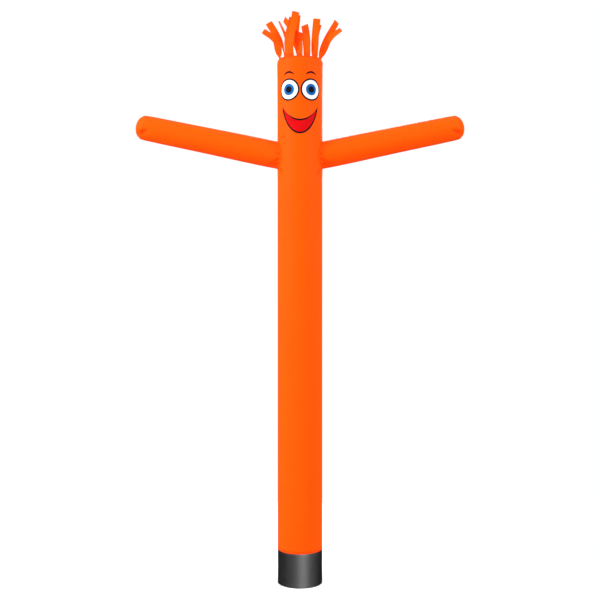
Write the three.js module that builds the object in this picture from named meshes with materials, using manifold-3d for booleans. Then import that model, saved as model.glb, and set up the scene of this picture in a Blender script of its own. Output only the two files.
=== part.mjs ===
// Inflatable air dancer: a tall cloth tube with two sleeve arms, a fringe of hair and a fan cuff.
// Millimetres, +Z up. The origin is the centre of the cuff's mouth, on the ground.
// Each piece is one closed solid with the thickness of its cloth, in the form that the air gives it.

import * as THREE from 'three';
import { mergeVertices } from 'three/addons/utils/BufferGeometryUtils.js';
import Module from 'manifold-3d';

// ---------------------------------------------------------------- driving dimensions

const CLOTH = 2;              // wall of the tube, the arms and the caps
const CUFF_CLOTH = 2.5;       // the stiffer cloth of the cuff
const SEAM_GAP = 0.3;         // clearance between two pieces that are sewn together
const TUBE_SIDES = 48;
const ARM_SIDES = 32;

// Fan cuff: a plain sleeve that slips over the ring of a blower
const CUFF_RADIUS = 232.3;
const CUFF_HEIGHT = 396;      // 50 mm of it is hidden inside the tube's hem

// Body tube: outer radius at heights from the lower hem to the flat seam of the head
const TUBE_PROFILE = [
  { height: 346, radius: 235.5 },    // lower edge, where the cloth is turned up
  { height: 374, radius: 235.5 },
  { height: 379, radius: 234.6 },
  { height: 2600, radius: 235.2 },
  { height: 4240, radius: 236.3 },
  { height: 4340, radius: 238.6 },   // the shoulders swell a little at the ports
  { height: 4640, radius: 238.2 },
  { height: 4760, radius: 236.8 },
  { height: 5290, radius: 238.4 },
  { height: 5400, radius: 240.6 },
  { height: 5456, radius: 241.2 },
  { height: 5473, radius: 240.3 },
  { height: 5485, radius: 238 },
  { height: 5493, radius: 233.6 },
  { height: 5498, radius: 228.6 },
  { height: 5499, radius: 226.4 },
];
const HEAD_SEAM_RADIUS = 221.9;      // inner edge of the tube's turned-in top
const HEAD_DOME_RISE = 30;
const HEAD_DOME_RINGS = 5;

// Arms: cones that lean up from the sides of the tube and end in a flattened dome
const ARM_TILT = 11.7 * Math.PI / 180;
const ARM_ROOT_HEIGHT = 4500;        // where an arm's axis meets the side of the tube
const ARM_ROOT_RADIUS = 143.6;
const ARM_HAND_RADIUS = 129;
const ARM_STRAIGHT = 1434;           // from the side of the tube to the start of the dome
const ARM_DOME_DEPTH = 90;
const ARM_LEAD_IN = 110;             // length left inside the tube before the saddle cut
const HAND_SEAM_ANGLE = Math.PI / 6; // where the hand cap starts, round the dome
const HAND_RINGS = 6;

// Hair: strips of one width, gathered where they are sewn, standing on a narrow band
const BAND_RADIUS = 224.4;           // middle of the band's thickness
const BAND_CLOTH = 4.4;              // the strips' ends folded in between two layers
const BAND_HEIGHT = 12;
const STRIP_WIDTH = 75;
const STRIP_ROOT_WIDTH = 52;
const STRIP_ROOT_RISE = 4;           // how far up the band a strip starts
const STRIP_ROOT_INSET = 0.75;       // a flat strip starts this far inside the middle of the band
const STRIP_GATHER = 0.35;           // share of a strip's length that widens to the full width
const STRIP_STRAIGHT = 0.03;         // share that stays square to the band, up to above its edge
const STRIP_TWIST = 0.2;             // share by which it has turned from the band's course to its own
const STRIP_STEPS = 16;
const STRIP_BACK_GROUP = 3;          // a box geometry lists its -Y side fourth

// A row for each strip. root: degrees round the band, 0 at the front and 90 towards +X.
// course: the points (x, y, height) that it passes, its tip last. low and tip: how far its flat
// side is turned about the course there, in degrees, where 0 and 180 look to the front or back.
const STRIPS = [
  { root: -69, course: [[-228, -95, 5598], [-251, -105, 5690], [-384, -122, 5788]], low: 0, tip: 35 },
  { root: -37.5, course: [[-127, -170, 5690], [-75, -158, 5918]], low: -35, tip: 0 },
  { root: -22.5, course: [[-97, -216, 5660], [-43, -200, 5970]], low: -30, tip: 0 },
  { root: 0, course: [[-7, -190, 5630], [-47, -135, 5748], [-166, -84, 5918]], low: -18, tip: -55 },
  { root: 20, course: [[70, -150, 5700], [49, -10, 5876]], low: 14, tip: -14 },
  { root: 45, course: [[158, -145, 5700], [177, -100, 5920]], low: -10, tip: 0 },
  { root: 71, course: [[251, -84, 5606], [301, -94, 5705], [430, -104, 5807]], low: 0, tip: -45 },
  { root: 110, course: [[243, 82, 5630], [290, 92, 5744], [393, 104, 5939]], low: 170, tip: 222 },
  { root: 134, course: [[157, 138, 5700], [168, 125, 5810], [196, 112, 5914]], low: 160, tip: 180 },
  { root: 161, course: [[72, 190, 5690], [52, 135, 5762], [-24, 62, 5787]], low: 180, tip: 180 },
  { root: 181, course: [[-8, 200, 5636], [-48, 150, 5760], [-31, 60, 6000]], low: 180, tip: 176 },
  { root: 199, course: [[-146, 196, 5780], [-228, 188, 5963]], low: 225, tip: 250 },
  { root: 221, course: [[-193, 160, 5702], [-336, 150, 5938]], low: 255, tip: 168 },
];

// ---------------------------------------------------------------- cloth colours

const orangeCloth = { color: 0xff5f0e, roughness: 0.55, metalness: 0 };
const hairCloth = { color: 0xf9560b, roughness: 0.6, metalness: 0 };
const cuffCloth = { color: 0x2c2c2e, roughness: 0.5, metalness: 0 };

// ---------------------------------------------------------------- solids

const wasm = await Module();
wasm.setup();

/** A closed geometry as a solid that can be joined and cut. */
function toSolid(geometry) {
  const bare = geometry.clone();
  bare.deleteAttribute('normal');
  bare.deleteAttribute('uv');
  const merged = mergeVertices(bare, 1e-4);
  const vertProperties = new Float32Array(merged.attributes.position.array);
  const triVerts = new Uint32Array(merged.index.array);
  return new wasm.Manifold(new wasm.Mesh({ numProp: 3, vertProperties, triVerts }));
}

/** A joined or cut solid as a geometry again. */
function toGeometry(solid) {
  const { numProp, vertProperties, triVerts } = solid.getMesh();
  const positions = [];
  for (let i = 0; i < vertProperties.length; i += numProp) {
    positions.push(vertProperties[i], vertProperties[i + 1], vertProperties[i + 2]);
  }
  const geometry = new THREE.BufferGeometry();
  geometry.setAttribute('position', new THREE.Float32BufferAttribute(positions, 3));
  geometry.setIndex(new THREE.BufferAttribute(triVerts, 1));
  geometry.computeVertexNormals();
  return geometry;
}

/** A named mesh with a material of its own. */
function piece(name, geometry, cloth) {
  const mesh = new THREE.Mesh(geometry, new THREE.MeshStandardMaterial(cloth));
  mesh.name = name;
  return mesh;
}

/** A solid of revolution about Z, from points whose x is a radius and whose y is a height. */
function turned(profile, sides) {
  const geometry = new THREE.LatheGeometry(profile, sides);
  geometry.rotateX(Math.PI / 2);
  return geometry;
}

/** The points of a profile moved inwards by a distance, square to its course. */
function insetProfile(profile, distance) {
  return profile.map((point, i) => {
    const before = profile[Math.max(i - 1, 0)];
    const after = profile[Math.min(i + 1, profile.length - 1)];
    const along = after.clone().sub(before).normalize();
    return new THREE.Vector2(point.x - distance * along.y, point.y + distance * along.x);
  });
}

/** A sleeve open at both ends: the outer profile from bottom to top, then the inner one back. */
function sleeve(outer, inner, sides) {
  return turned([...outer, ...inner.toReversed(), outer[0].clone()], sides);
}

/** A domed disc closed on the axis, from outer and inner profiles that both run up to it. */
function dome(outer, inner, sides) {
  return turned([...inner.toReversed(), ...outer], sides);
}

// ---------------------------------------------------------------- tube, head and cuff

/** Outer profile of the tube, raised outwards by a clearance where a neighbour is cut to it. */
function tubeProfile(clearance = 0) {
  const side = TUBE_PROFILE.map(({ height, radius }) => new THREE.Vector2(radius + clearance, height));
  const headTop = TUBE_PROFILE[TUBE_PROFILE.length - 1].height;
  return [...side, new THREE.Vector2(HEAD_SEAM_RADIUS, headTop)];
}

/** The tube's outer form as one filled solid, which the arms are cut to. */
function tubeFilled(clearance) {
  const profile = tubeProfile(clearance);
  const foot = new THREE.Vector2(0, profile[0].y);
  const crown = new THREE.Vector2(0, profile[profile.length - 1].y);
  return toSolid(turned([foot, ...profile, crown], TUBE_SIDES));
}

function headCap() {
  const headTop = TUBE_PROFILE[TUBE_PROFILE.length - 1].height;
  const rim = HEAD_SEAM_RADIUS - SEAM_GAP;
  const outer = [];
  for (let ring = 0; ring <= HEAD_DOME_RINGS; ring += 1) {
    const radius = rim * (1 - ring / HEAD_DOME_RINGS);
    outer.push(new THREE.Vector2(radius, headTop + HEAD_DOME_RISE * (1 - (radius / rim) ** 2)));
  }
  // The rim stands upright, so that it clears the tube's turned-in edge all the way down.
  const inner = outer.map((point) => new THREE.Vector2(point.x, point.y - CLOTH));
  return dome(outer, inner, TUBE_SIDES);
}

function fanCuff() {
  const outer = [new THREE.Vector2(CUFF_RADIUS, 0), new THREE.Vector2(CUFF_RADIUS, CUFF_HEIGHT)];
  return sleeve(outer, insetProfile(outer, CUFF_CLOTH), TUBE_SIDES);
}

// ---------------------------------------------------------------- arms

/** Points round the dome of an arm's end, between two angles from its widest ring. */
function handArc(from, to, steps, inset) {
  const points = [];
  for (let i = 0; i <= steps; i += 1) {
    const angle = THREE.MathUtils.lerp(from, to, i / steps);
    const radius = (ARM_HAND_RADIUS - inset) * Math.cos(angle);
    points.push(new THREE.Vector2(radius, ARM_STRAIGHT + (ARM_DOME_DEPTH - inset) * Math.sin(angle)));
  }
  return points;
}

/** Profile of an arm's wall: its cone from inside the tube, then the start of the dome. */
function armProfile(inset) {
  const leadIn = new THREE.Vector2(armRadiusAt(-ARM_LEAD_IN) - inset, -ARM_LEAD_IN);
  return [leadIn, ...handArc(0, HAND_SEAM_ANGLE, 3, inset)];
}

/** Outer radius of an arm's cone at a distance from the side of the tube. */
function armRadiusAt(distance) {
  return THREE.MathUtils.lerp(ARM_ROOT_RADIUS, ARM_HAND_RADIUS, distance / ARM_STRAIGHT);
}

/** Turns and moves a geometry from an arm's own axis, +Z, to its place on one side of the tube. */
function placeOnArm(geometry, side) {
  const reach = tubeRadiusAt(ARM_ROOT_HEIGHT);
  const lean = new THREE.Matrix4().makeRotationY(side * (Math.PI / 2 - ARM_TILT));
  const move = new THREE.Matrix4().makeTranslation(side * reach, 0, ARM_ROOT_HEIGHT);
  return geometry.applyMatrix4(move.multiply(lean));
}

function tubeRadiusAt(height) {
  const above = TUBE_PROFILE.findIndex((row) => row.height >= height);
  const low = TUBE_PROFILE[above - 1];
  const high = TUBE_PROFILE[above];
  return THREE.MathUtils.mapLinear(height, low.height, high.height, low.radius, high.radius);
}

/** The space inside an arm's root, which is cut through the wall of the tube. */
function armPort(side) {
  const outerEnd = armRadiusAt(ARM_LEAD_IN) - CLOTH;
  const innerEnd = armRadiusAt(-ARM_LEAD_IN) - CLOTH;
  const bore = new THREE.CylinderGeometry(outerEnd, innerEnd, ARM_LEAD_IN * 2, ARM_SIDES);
  bore.rotateX(Math.PI / 2);
  return toSolid(placeOnArm(bore, side));
}

function armSleeve(side) {
  const wall = sleeve(armProfile(0), armProfile(CLOTH), ARM_SIDES);
  return toGeometry(toSolid(placeOnArm(wall, side)).subtract(tubeFilled(SEAM_GAP)));
}

function handCap(side) {
  const seamAngle = HAND_SEAM_ANGLE + SEAM_GAP / ARM_DOME_DEPTH;
  const [outer, inner] = [0, CLOTH].map((inset) => {
    const arc = handArc(seamAngle, Math.PI / 2, HAND_RINGS, inset);
    arc[HAND_RINGS].x = 0;
    return arc;
  });
  return placeOnArm(dome(outer, inner, ARM_SIDES), side);
}

// ---------------------------------------------------------------- hair

/** A level unit vector that looks the given way in degrees: 0 looks to the front. */
function outward(degrees) {
  const angle = THREE.MathUtils.degToRad(degrees);
  return new THREE.Vector3(Math.sin(angle), -Math.cos(angle), 0);
}

/** How far a strip's flat side is turned about its course, at a share of its length. */
function turnAt({ root, low, tip }, share) {
  if (share < STRIP_TWIST) {
    return THREE.MathUtils.lerp(root, low, THREE.MathUtils.smoothstep(share, STRIP_STRAIGHT, STRIP_TWIST));
  }
  return THREE.MathUtils.lerp(low, tip, THREE.MathUtils.smoothstep(share, STRIP_TWIST, 1));
}

/** A flat box in steps along Z, with the quads of both of its wide sides split the same way. */
function flatStrip() {
  const geometry = new THREE.BoxGeometry(1, CLOTH, 1, 1, 1, STRIP_STEPS);
  const { start, count } = geometry.groups[STRIP_BACK_GROUP];
  const corners = geometry.index.array;
  for (let i = start; i < start + count; i += 6) {
    const [a, b, d, , c] = corners.slice(i, i + 6);
    corners.set([a, b, c, a, c, d], i);
  }
  return geometry;
}

/** One strip: a thin box whose long axis is laid along the strip's course. */
function strip(row, bandFoot) {
  const start = outward(row.root).multiplyScalar(BAND_RADIUS - STRIP_ROOT_INSET);
  start.z = bandFoot + STRIP_ROOT_RISE;
  const passed = row.course.map((point) => new THREE.Vector3(...point));
  const course = new THREE.CatmullRomCurve3([start, ...passed], false, 'centripetal');
  const geometry = flatStrip();
  const position = geometry.attributes.position;
  for (let i = 0; i < position.count; i += 1) {
    const step = Math.round((position.getZ(i) + 0.5) * STRIP_STEPS);
    const above = THREE.MathUtils.mapLinear(step, 1, STRIP_STEPS, STRIP_STRAIGHT, 1);
    const share = step === 0 ? 0 : above;
    // The root's end is level, so the strip starts out square to the band.
    const along = new THREE.Vector3(0, 0, 1);
    const leaned = THREE.MathUtils.smoothstep(share, STRIP_STRAIGHT, STRIP_TWIST);
    along.lerp(course.getTangentAt(share), leaned).normalize();
    const across = new THREE.Vector3(along.z, 0, -along.x).normalize();
    across.applyAxisAngle(along, THREE.MathUtils.degToRad(turnAt(row, share)));
    const normal = new THREE.Vector3().crossVectors(along, across);
    const opened = THREE.MathUtils.smoothstep(share, STRIP_STRAIGHT, STRIP_GATHER);
    const width = THREE.MathUtils.lerp(STRIP_ROOT_WIDTH, STRIP_WIDTH, opened);
    const point = course.getPointAt(share);
    point.addScaledVector(across, position.getX(i) * width);
    point.addScaledVector(normal, position.getY(i));
    position.setXYZ(i, point.x, point.y, point.z);
  }
  return toSolid(geometry);
}

/** The band with every strip fused to it by its root. */
function hair() {
  const foot = TUBE_PROFILE[TUBE_PROFILE.length - 1].height + SEAM_GAP;
  const radius = BAND_RADIUS + BAND_CLOTH / 2;
  const outer = [new THREE.Vector2(radius, foot), new THREE.Vector2(radius, foot + BAND_HEIGHT)];
  let fringe = toSolid(sleeve(outer, insetProfile(outer, BAND_CLOTH), TUBE_SIDES));
  for (const row of STRIPS) {
    fringe = fringe.add(strip(row, foot));
  }
  return toGeometry(fringe);
}

// ---------------------------------------------------------------- the whole figure

const airDancer = new THREE.Group();

let tube = toSolid(sleeve(tubeProfile(), insetProfile(tubeProfile(), CLOTH), TUBE_SIDES));
const sides = { left: -1, right: 1 };
for (const side of Object.values(sides)) {
  tube = tube.subtract(armPort(side));
}
airDancer.add(piece('body_tube', toGeometry(tube), orangeCloth));
airDancer.add(piece('head_cap', headCap(), orangeCloth));
airDancer.add(piece('fan_cuff', fanCuff(), cuffCloth));
for (const [label, side] of Object.entries(sides)) {
  airDancer.add(piece(`arm_${label}`, armSleeve(side), orangeCloth));
  airDancer.add(piece(`hand_cap_${label}`, handCap(side), orangeCloth));
}
airDancer.add(piece('hair', hair(), hairCloth));

export default airDancer;
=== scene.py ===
"""Inflatable air dancer: its cloth, seams, stitches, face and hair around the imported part, in a plain studio.

Metres, +Z up, the face towards -Y. The figure stands on its fan cuff at the origin.
"""

import logging
import math
from collections.abc import Callable, Mapping, Sequence
from dataclasses import dataclass, field
from enum import Enum
from itertools import pairwise
from typing import Any, Union

import bmesh
import bpy
import numpy as np
from mathutils import Matrix, Vector


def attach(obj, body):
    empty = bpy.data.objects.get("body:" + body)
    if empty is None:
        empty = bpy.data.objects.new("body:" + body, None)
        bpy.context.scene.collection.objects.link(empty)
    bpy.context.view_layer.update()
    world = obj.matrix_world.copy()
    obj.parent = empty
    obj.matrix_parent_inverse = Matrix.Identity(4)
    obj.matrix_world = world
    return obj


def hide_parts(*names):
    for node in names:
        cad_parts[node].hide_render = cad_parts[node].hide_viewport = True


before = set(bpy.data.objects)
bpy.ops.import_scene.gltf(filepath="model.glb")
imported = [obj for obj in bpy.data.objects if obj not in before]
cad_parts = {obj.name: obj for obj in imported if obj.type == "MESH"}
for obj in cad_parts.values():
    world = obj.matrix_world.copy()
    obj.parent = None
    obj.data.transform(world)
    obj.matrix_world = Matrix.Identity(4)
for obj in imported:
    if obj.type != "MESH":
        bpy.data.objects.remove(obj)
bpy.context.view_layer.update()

log = logging.getLogger("figure")

CLOTH_UV = "cloth"              # a piece's own cloth, unrolled, in metres
SEAM_AND_SHADE_LAYER = "seam"             # 1 where the cloth is doubled at a seam, 0 away from it; it also carries painted shade in creases and on the hair strips
RUN_LAYER = "run"               # how far along its cloth a point was laid out

Array = np.ndarray
Rgb = tuple[float, float, float]
Operand = Union["Link", float]


class Side(Enum):
    """The two sides of the figure, as seen from the front."""

    LEFT = -1
    RIGHT = 1

    @property
    def label(self) -> str:
        """The side's name in piece and node names."""
        return self.name.lower()


# ---------------------------------------------------------------- shaders


class Link:
    """A value inside a shader graph, so that maths on it reads as a plain expression."""

    def __init__(self, graph: "Graph", socket: bpy.types.NodeSocket | None) -> None:
        """Wraps one output socket of a node in a graph."""
        self.graph = graph
        self.socket = socket

    def maths(self, operation: str, *others: Operand) -> "Link":
        """Adds one Math node that takes this value first."""
        inputs = dict(enumerate((self, *others)))
        return self.graph.node("ShaderNodeMath", {"operation": operation}, inputs)

    def __add__(self, other: Operand) -> "Link":
        """This value plus another."""
        return self.maths("ADD", other)

    __radd__ = __add__

    def __mul__(self, other: Operand) -> "Link":
        """This value times another."""
        return self.maths("MULTIPLY", other)

    __rmul__ = __mul__

    def __sub__(self, other: Operand) -> "Link":
        """This value less another."""
        return self.maths("SUBTRACT", other)

    def __rsub__(self, other: float) -> "Link":
        """A number less this value."""
        inputs = {0: other, 1: self}
        return self.graph.node("ShaderNodeMath", {"operation": "SUBTRACT"}, inputs)

    def __truediv__(self, other: Operand) -> "Link":
        """This value over another."""
        return self.maths("DIVIDE", other)

    def __abs__(self) -> "Link":
        """This value without its sign."""
        return self.maths("ABSOLUTE")

    def sine(self) -> "Link":
        """The sine of this value."""
        return self.maths("SINE")

    def fraction(self) -> "Link":
        """What is left of this value past its whole number."""
        return self.maths("FRACT")

    def larger(self, other: Operand) -> "Link":
        """The larger of two values."""
        return self.maths("MAXIMUM", other)

    def ramp(self, low: float, high: float) -> "Link":
        """A smooth step from 0, where this value is low, to 1, where it is high."""
        inputs = {"Value": self, "From Min": low, "From Max": high}
        return self.graph.node("ShaderNodeMapRange", {"interpolation_type": "SMOOTHSTEP"}, inputs)


class Graph:
    """The node tree of one material or world."""

    def __init__(self, owner: bpy.types.Material | bpy.types.World) -> None:
        """Empties the owner's node tree.

        Args:
            owner: The material or world whose nodes are built.
        """
        owner.use_nodes = True
        self.tree = owner.node_tree
        self.tree.nodes.clear()

    def node(
        self,
        kind: str,
        settings: Mapping[str, Any] | None = None,
        inputs: Mapping[int | str, Any] | None = None,
        output: int | str = 0,
    ) -> Link:
        """Adds a node, sets it up and feeds it.

        Args:
            kind: The node's type name.
            settings: Its own settings, which are set first.
            inputs: Values or links by socket number or name.
            output: The output socket to hand back.

        Returns:
            The chosen output.
        """
        made = self.tree.nodes.new(kind)
        for key, value in (settings or {}).items():
            setattr(made, key, value)
        for key, value in (inputs or {}).items():
            if isinstance(value, Link):
                self.tree.links.new(value.socket, made.inputs[key])
            else:
                made.inputs[key].default_value = value
        return Link(self, made.outputs[output]) if len(made.outputs) else Link(self, None)

    def blend(self, share: Operand, start: Link | Rgb, end: Link | Rgb) -> Link:
        """Mixes two colours.

        Args:
            share: How much of the second colour shows, from 0 to 1.
            start: The first colour, as a link or a plain colour.
            end: The second one.

        Returns:
            The mixed colour.
        """
        pair = {6: start, 7: end}
        fixed = {key: value if isinstance(value, Link) else (*value, 1) for key, value in pair.items()}
        settings = {"data_type": "RGBA", "clamp_factor": True}
        return self.node("ShaderNodeMix", settings, {0: share, **fixed}, output=2)

    def noise(self, place: Link, scale: float, detail: float = 2.0) -> Link:
        """Soft noise from 0 to 1 at a scale, in features for each metre."""
        inputs = {"Vector": place, "Scale": scale, "Detail": detail}
        return self.node("ShaderNodeTexNoise", {"noise_dimensions": "3D"}, inputs)

    def attribute(self, name: str) -> Link:
        """A number that the piece's mesh carries at each point."""
        return self.node("ShaderNodeAttribute", {"attribute_name": name}, output="Fac")

    def cloth_place(self) -> tuple[Link, Link, Link]:
        """Reads the place on the unrolled cloth.

        Returns:
            The place as a vector, and its parts across and along the cloth, in metres.
        """
        place = self.node("ShaderNodeUVMap", {"uv_map": CLOTH_UV})
        inputs = {"Vector": place}
        across = self.node("ShaderNodeSeparateXYZ", inputs=inputs, output=0)
        along = self.node("ShaderNodeSeparateXYZ", inputs=inputs, output=1)
        return place, across, along


@dataclass(frozen=True)
class ClothFinish:
    """The finish of one kind of cloth, with its threads at their real size."""

    slot: str
    colour: Rgb
    # deep: the darker colour of ripstop threads and doubled seams, and of the painted shade in creases and on
    # the hair strips
    deep: Rgb
    worn: Rgb
    roughness: float
    specular: float = 0.03
    thread: float = 0.0007
    thread_relief: float = 0.00002
    ripstop: float = 0.0
    ripstop_relief: float = 0.00012
    cloud_scale: float = 2.2
    billow_scale: float = 14.0
    billow_relief: float = 0.0016
    crinkle_scale: float = 46.0
    crinkle_relief: float = 0.0004
    mottle: float = 0.5
    # glow: painted light, an emission that keeps the cloth bright red where little light falls on it
    glow: Rgb = (0.0, 0.0, 0.0)

    def material(self) -> bpy.types.Material:
        """Builds the finish as a material.

        Returns:
            The material, named after the finish's slot.
        """
        material = bpy.data.materials.new(self.slot)
        graph = Graph(material)
        place, across, along = graph.cloth_place()
        seam = graph.attribute(SEAM_AND_SHADE_LAYER)
        clouds = graph.noise(place, self.cloud_scale, 3.0)
        billows = graph.noise(place, self.billow_scale, 4.0)
        crinkles = graph.noise(place, self.crinkle_scale, 5.0)

        turn = 2 * math.pi / self.thread
        weave = (across * turn).sine() * (along * turn).sine()
        relief = weave * self.thread_relief + crinkles * self.crinkle_relief + billows * self.billow_relief
        soft = (clouds - 0.5) * self.mottle + (billows - 0.5) * (self.mottle * 0.6)
        soft = soft + (crinkles - 0.5) * (self.mottle * 0.7)
        cloth = graph.blend((soft + 0.5).ramp(0.1, 0.9), self.colour, self.worn)
        rough = self.roughness + (billows - 0.5) * 0.16 + (crinkles - 0.5) * 0.08
        if self.ripstop:
            grid = self.ripstop_grid(across).larger(self.ripstop_grid(along))
            relief = relief + grid * self.ripstop_relief
            cloth = graph.blend(grid * 0.5, cloth, self.deep)
            rough = rough - grid * 0.04
        # Deeper at doubled seams, and painted shade where creases draw the cloth in and on the hair strips, all
        # read from the seam layer
        seam_and_shade_colour = graph.blend(seam * 0.7, cloth, self.deep)
        bump = graph.node("ShaderNodeBump", None, {"Strength": 1.0, "Distance": 1.0, "Height": relief})
        shader = graph.node("ShaderNodeBsdfPrincipled", None, {
            "Base Color": seam_and_shade_colour,
            "Roughness": rough,
            "Normal": bump,
            "Specular IOR Level": self.specular,
            # Painted light: the glow is emission from the cloth itself
            "Emission Color": (*self.glow, 1),
            "Emission Strength": 1.0 if any(self.glow) else 0.0,
        })
        graph.node("ShaderNodeOutputMaterial", None, {"Surface": shader})
        return material

    def ripstop_grid(self, place: Link) -> Link:
        """The heavier threads that cross one direction of the cloth: 1 on a thread, 0 between."""
        return abs((place / self.ripstop).fraction() - 0.5).ramp(0.43, 0.48)


@dataclass(frozen=True)
class ThreadFinish:
    """Sewing thread, with its twist."""

    name: str
    slot: str
    colour: Rgb
    shade: Rgb

    def material(self) -> bpy.types.Material:
        """Builds the thread as a material, by place on the object.

        Returns:
            The material, named after the thread.
        """
        material = bpy.data.materials.new(self.name)
        graph = Graph(material)
        place = graph.node("ShaderNodeTexCoord", output="Object")
        strands = graph.noise(place, 900.0, 2.0)
        bump = graph.node("ShaderNodeBump", None, {"Strength": 1.0, "Distance": 0.0003, "Height": strands})
        shader = graph.node("ShaderNodeBsdfPrincipled", None, {
            "Base Color": graph.blend(strands.ramp(0.3, 0.7), self.shade, self.colour),
            "Roughness": strands * 0.2 + 0.45,
            "Normal": bump,
            "Specular IOR Level": 0.3,
        })
        graph.node("ShaderNodeOutputMaterial", None, {"Surface": shader})
        return material


ORANGE = ClothFinish(
    slot="orange_cloth",
    colour=(1.0, 0.079, 0.0008),
    deep=(0.93, 0.050, 0.0008),
    worn=(1.0, 0.095, 0.0016),
    roughness=0.5,
    ripstop=0.006,
    # painted light: a faint red glow from the orange cloth
    glow=(0.18, 0.005, 0.0),
)
HAIR = ClothFinish(
    slot="hair_cloth",
    colour=(0.98, 0.08, 0.0012),
    deep=(0.85, 0.045, 0.0008),
    worn=(1.0, 0.112, 0.003),
    roughness=0.55,
    ripstop=0.006,
    # painted light: a faint red glow from the hair cloth
    glow=(0.12, 0.003, 0.0),
)
DARK = ClothFinish(
    slot="dark_cloth",
    colour=(0.0095, 0.0095, 0.0102),
    deep=(0.006, 0.006, 0.0064),
    worn=(0.015, 0.015, 0.0158),
    roughness=0.38,
    specular=1.0,
    thread=0.0011,
    thread_relief=0.00005,
    crinkle_relief=0.0003,
    billow_relief=0.0005,
    mottle=0.7,
)
FACE_WHITE = ClothFinish(
    slot="face_white",
    colour=(0.86, 0.86, 0.85),
    deep=(0.6, 0.6, 0.6),
    worn=(0.93, 0.93, 0.93),
    roughness=0.6,
)
FACE_BLACK = ClothFinish(
    slot="face_black",
    colour=(0.004, 0.0038, 0.004),
    deep=(0.002, 0.002, 0.002),
    worn=(0.007, 0.007, 0.007),
    roughness=0.6,
)
FACE_BLUE = ClothFinish(
    slot="face_blue",
    colour=(0.005, 0.105, 0.37),
    deep=(0.004, 0.05, 0.2),
    worn=(0.009, 0.14, 0.45),
    roughness=0.6,
)
FACE_RED = ClothFinish(
    slot="face_red",
    colour=(0.56, 0.002, 0.004),
    deep=(0.36, 0.001, 0.002),
    worn=(0.64, 0.004, 0.007),
    roughness=0.6,
)

ORANGE_THREAD = ThreadFinish(
    name="orange_thread", slot="orange_cloth", colour=(0.95, 0.1, 0.006), shade=(0.7, 0.045, 0.002)
)
DARK_THREAD = ThreadFinish(
    name="dark_thread", slot="dark_cloth", colour=(0.05, 0.05, 0.052), shade=(0.02, 0.02, 0.021)
)
BLACK_THREAD = ThreadFinish(
    name="black_thread", slot="face_black", colour=(0.012, 0.012, 0.012), shade=(0.005, 0.005, 0.005)
)

Finish = Union[ClothFinish, ThreadFinish]


class Wardrobe:
    """Keeps one material for each finish."""

    def __init__(self) -> None:
        """Starts with no material made."""
        self.made: dict[Finish, bpy.types.Material] = {}

    def material(self, finish: Finish) -> bpy.types.Material:
        """Finds the material of a finish, and makes it when it is first asked for.

        Args:
            finish: The finish.

        Returns:
            Its material.
        """
        if finish not in self.made:
            self.made[finish] = finish.material()
        return self.made[finish]


# ---------------------------------------------------------------- forms that the air gives the cloth


def smooth_step(value: Array | float, low: float, high: float) -> Array:
    """A smooth step from 0 at low to 1 at high."""
    share = np.clip((np.asarray(value, float) - low) / (high - low), 0.0, 1.0)
    return share * share * (3 - 2 * share)


@dataclass(frozen=True)
class Crease:
    """A soft trough in unrolled cloth, or a ridge where its depth is below 0."""

    across: float
    along: float
    lean: float
    length: float
    width: float
    depth: float
    peak: float = 0.5

    def sink(self, across: Array, along: Array, girth: float) -> Array:
        """How far the cloth sinks in.

        Args:
            across: Places round the cloth, in metres from its front.
            along: Places along it.
            girth: The length once round.

        Returns:
            The depth at each place, in metres.
        """
        aside = (across - self.across + girth / 2) % girth - girth / 2
        lean = math.radians(self.lean)
        down = (aside * math.sin(lean) + (along - self.along) * math.cos(lean)) / self.length + self.peak
        off = aside * math.cos(lean) - (along - self.along) * math.sin(lean)
        rise = smooth_step(down, -1e-6, max(self.peak, 1e-6))
        fall = smooth_step(1 - down, 0.0, 1 - self.peak + 1e-6)
        return self.depth * rise * fall * np.exp(-((2 * off / self.width) ** 2))


@dataclass(frozen=True)
class Puckers:
    """The small gathers that a seam draws into cloth, all round it."""

    count: int
    depth: float
    reach: float
    phase: float = 0.0

    def sink(self, share: Array, away: Array) -> Array:
        """How far the cloth sinks in.

        Args:
            share: Places round the seam, where 1 is once round.
            away: Distances from the seam.

        Returns:
            The depth at each place, in metres.
        """
        turn = 2 * math.pi * share
        wander = 0.9 * np.sin(3 * turn + self.phase) + 0.6 * np.sin(7 * turn + 2 * self.phase)
        size = 0.65 + 0.35 * np.sin(2 * turn + 1.7 * self.phase) * np.sin(5 * turn)
        wave = 0.5 + 0.5 * np.sin(self.count * turn + wander + self.phase)
        return self.depth * size * wave * np.exp(-((away / self.reach) ** 2) * 1.5)


@dataclass
class Outline:
    """The course of a turned piece's outer side, from which radii and slopes are read by run."""

    points: Sequence[tuple[float, float]]
    start: float = 0.0
    runs: Array = field(init=False)
    radii: Array = field(init=False)
    heights: Array = field(init=False)

    def __post_init__(self) -> None:
        """Works out the run at each point, which is the distance along the outline."""
        corners = np.array(self.points, float)
        steps = np.hypot(*np.diff(corners, axis=0).T)
        self.runs = self.start + np.concatenate(([0.0], np.cumsum(steps)))
        self.radii, self.heights = corners.T

    @property
    def end(self) -> float:
        """The run at the outline's last point."""
        return float(self.runs[-1])

    def at(self, run: Array | float) -> tuple[Array, Array]:
        """Radius and height at a run."""
        return np.interp(run, self.runs, self.radii), np.interp(run, self.runs, self.heights)

    def facing(self, run: Array | float) -> tuple[Array, Array]:
        """Reads which way the outline faces.

        Args:
            run: The run, or several.

        Returns:
            The radial and the upward part of the outward direction.
        """
        reach = 0.003
        near, far = self.at(np.asarray(run) - reach), self.at(np.asarray(run) + reach)
        slope, climb = far[0] - near[0], far[1] - near[1]
        size = np.hypot(slope, climb) + 1e-12
        return climb / size, -slope / size


# ---------------------------------------------------------------- sizes of the figure

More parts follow.
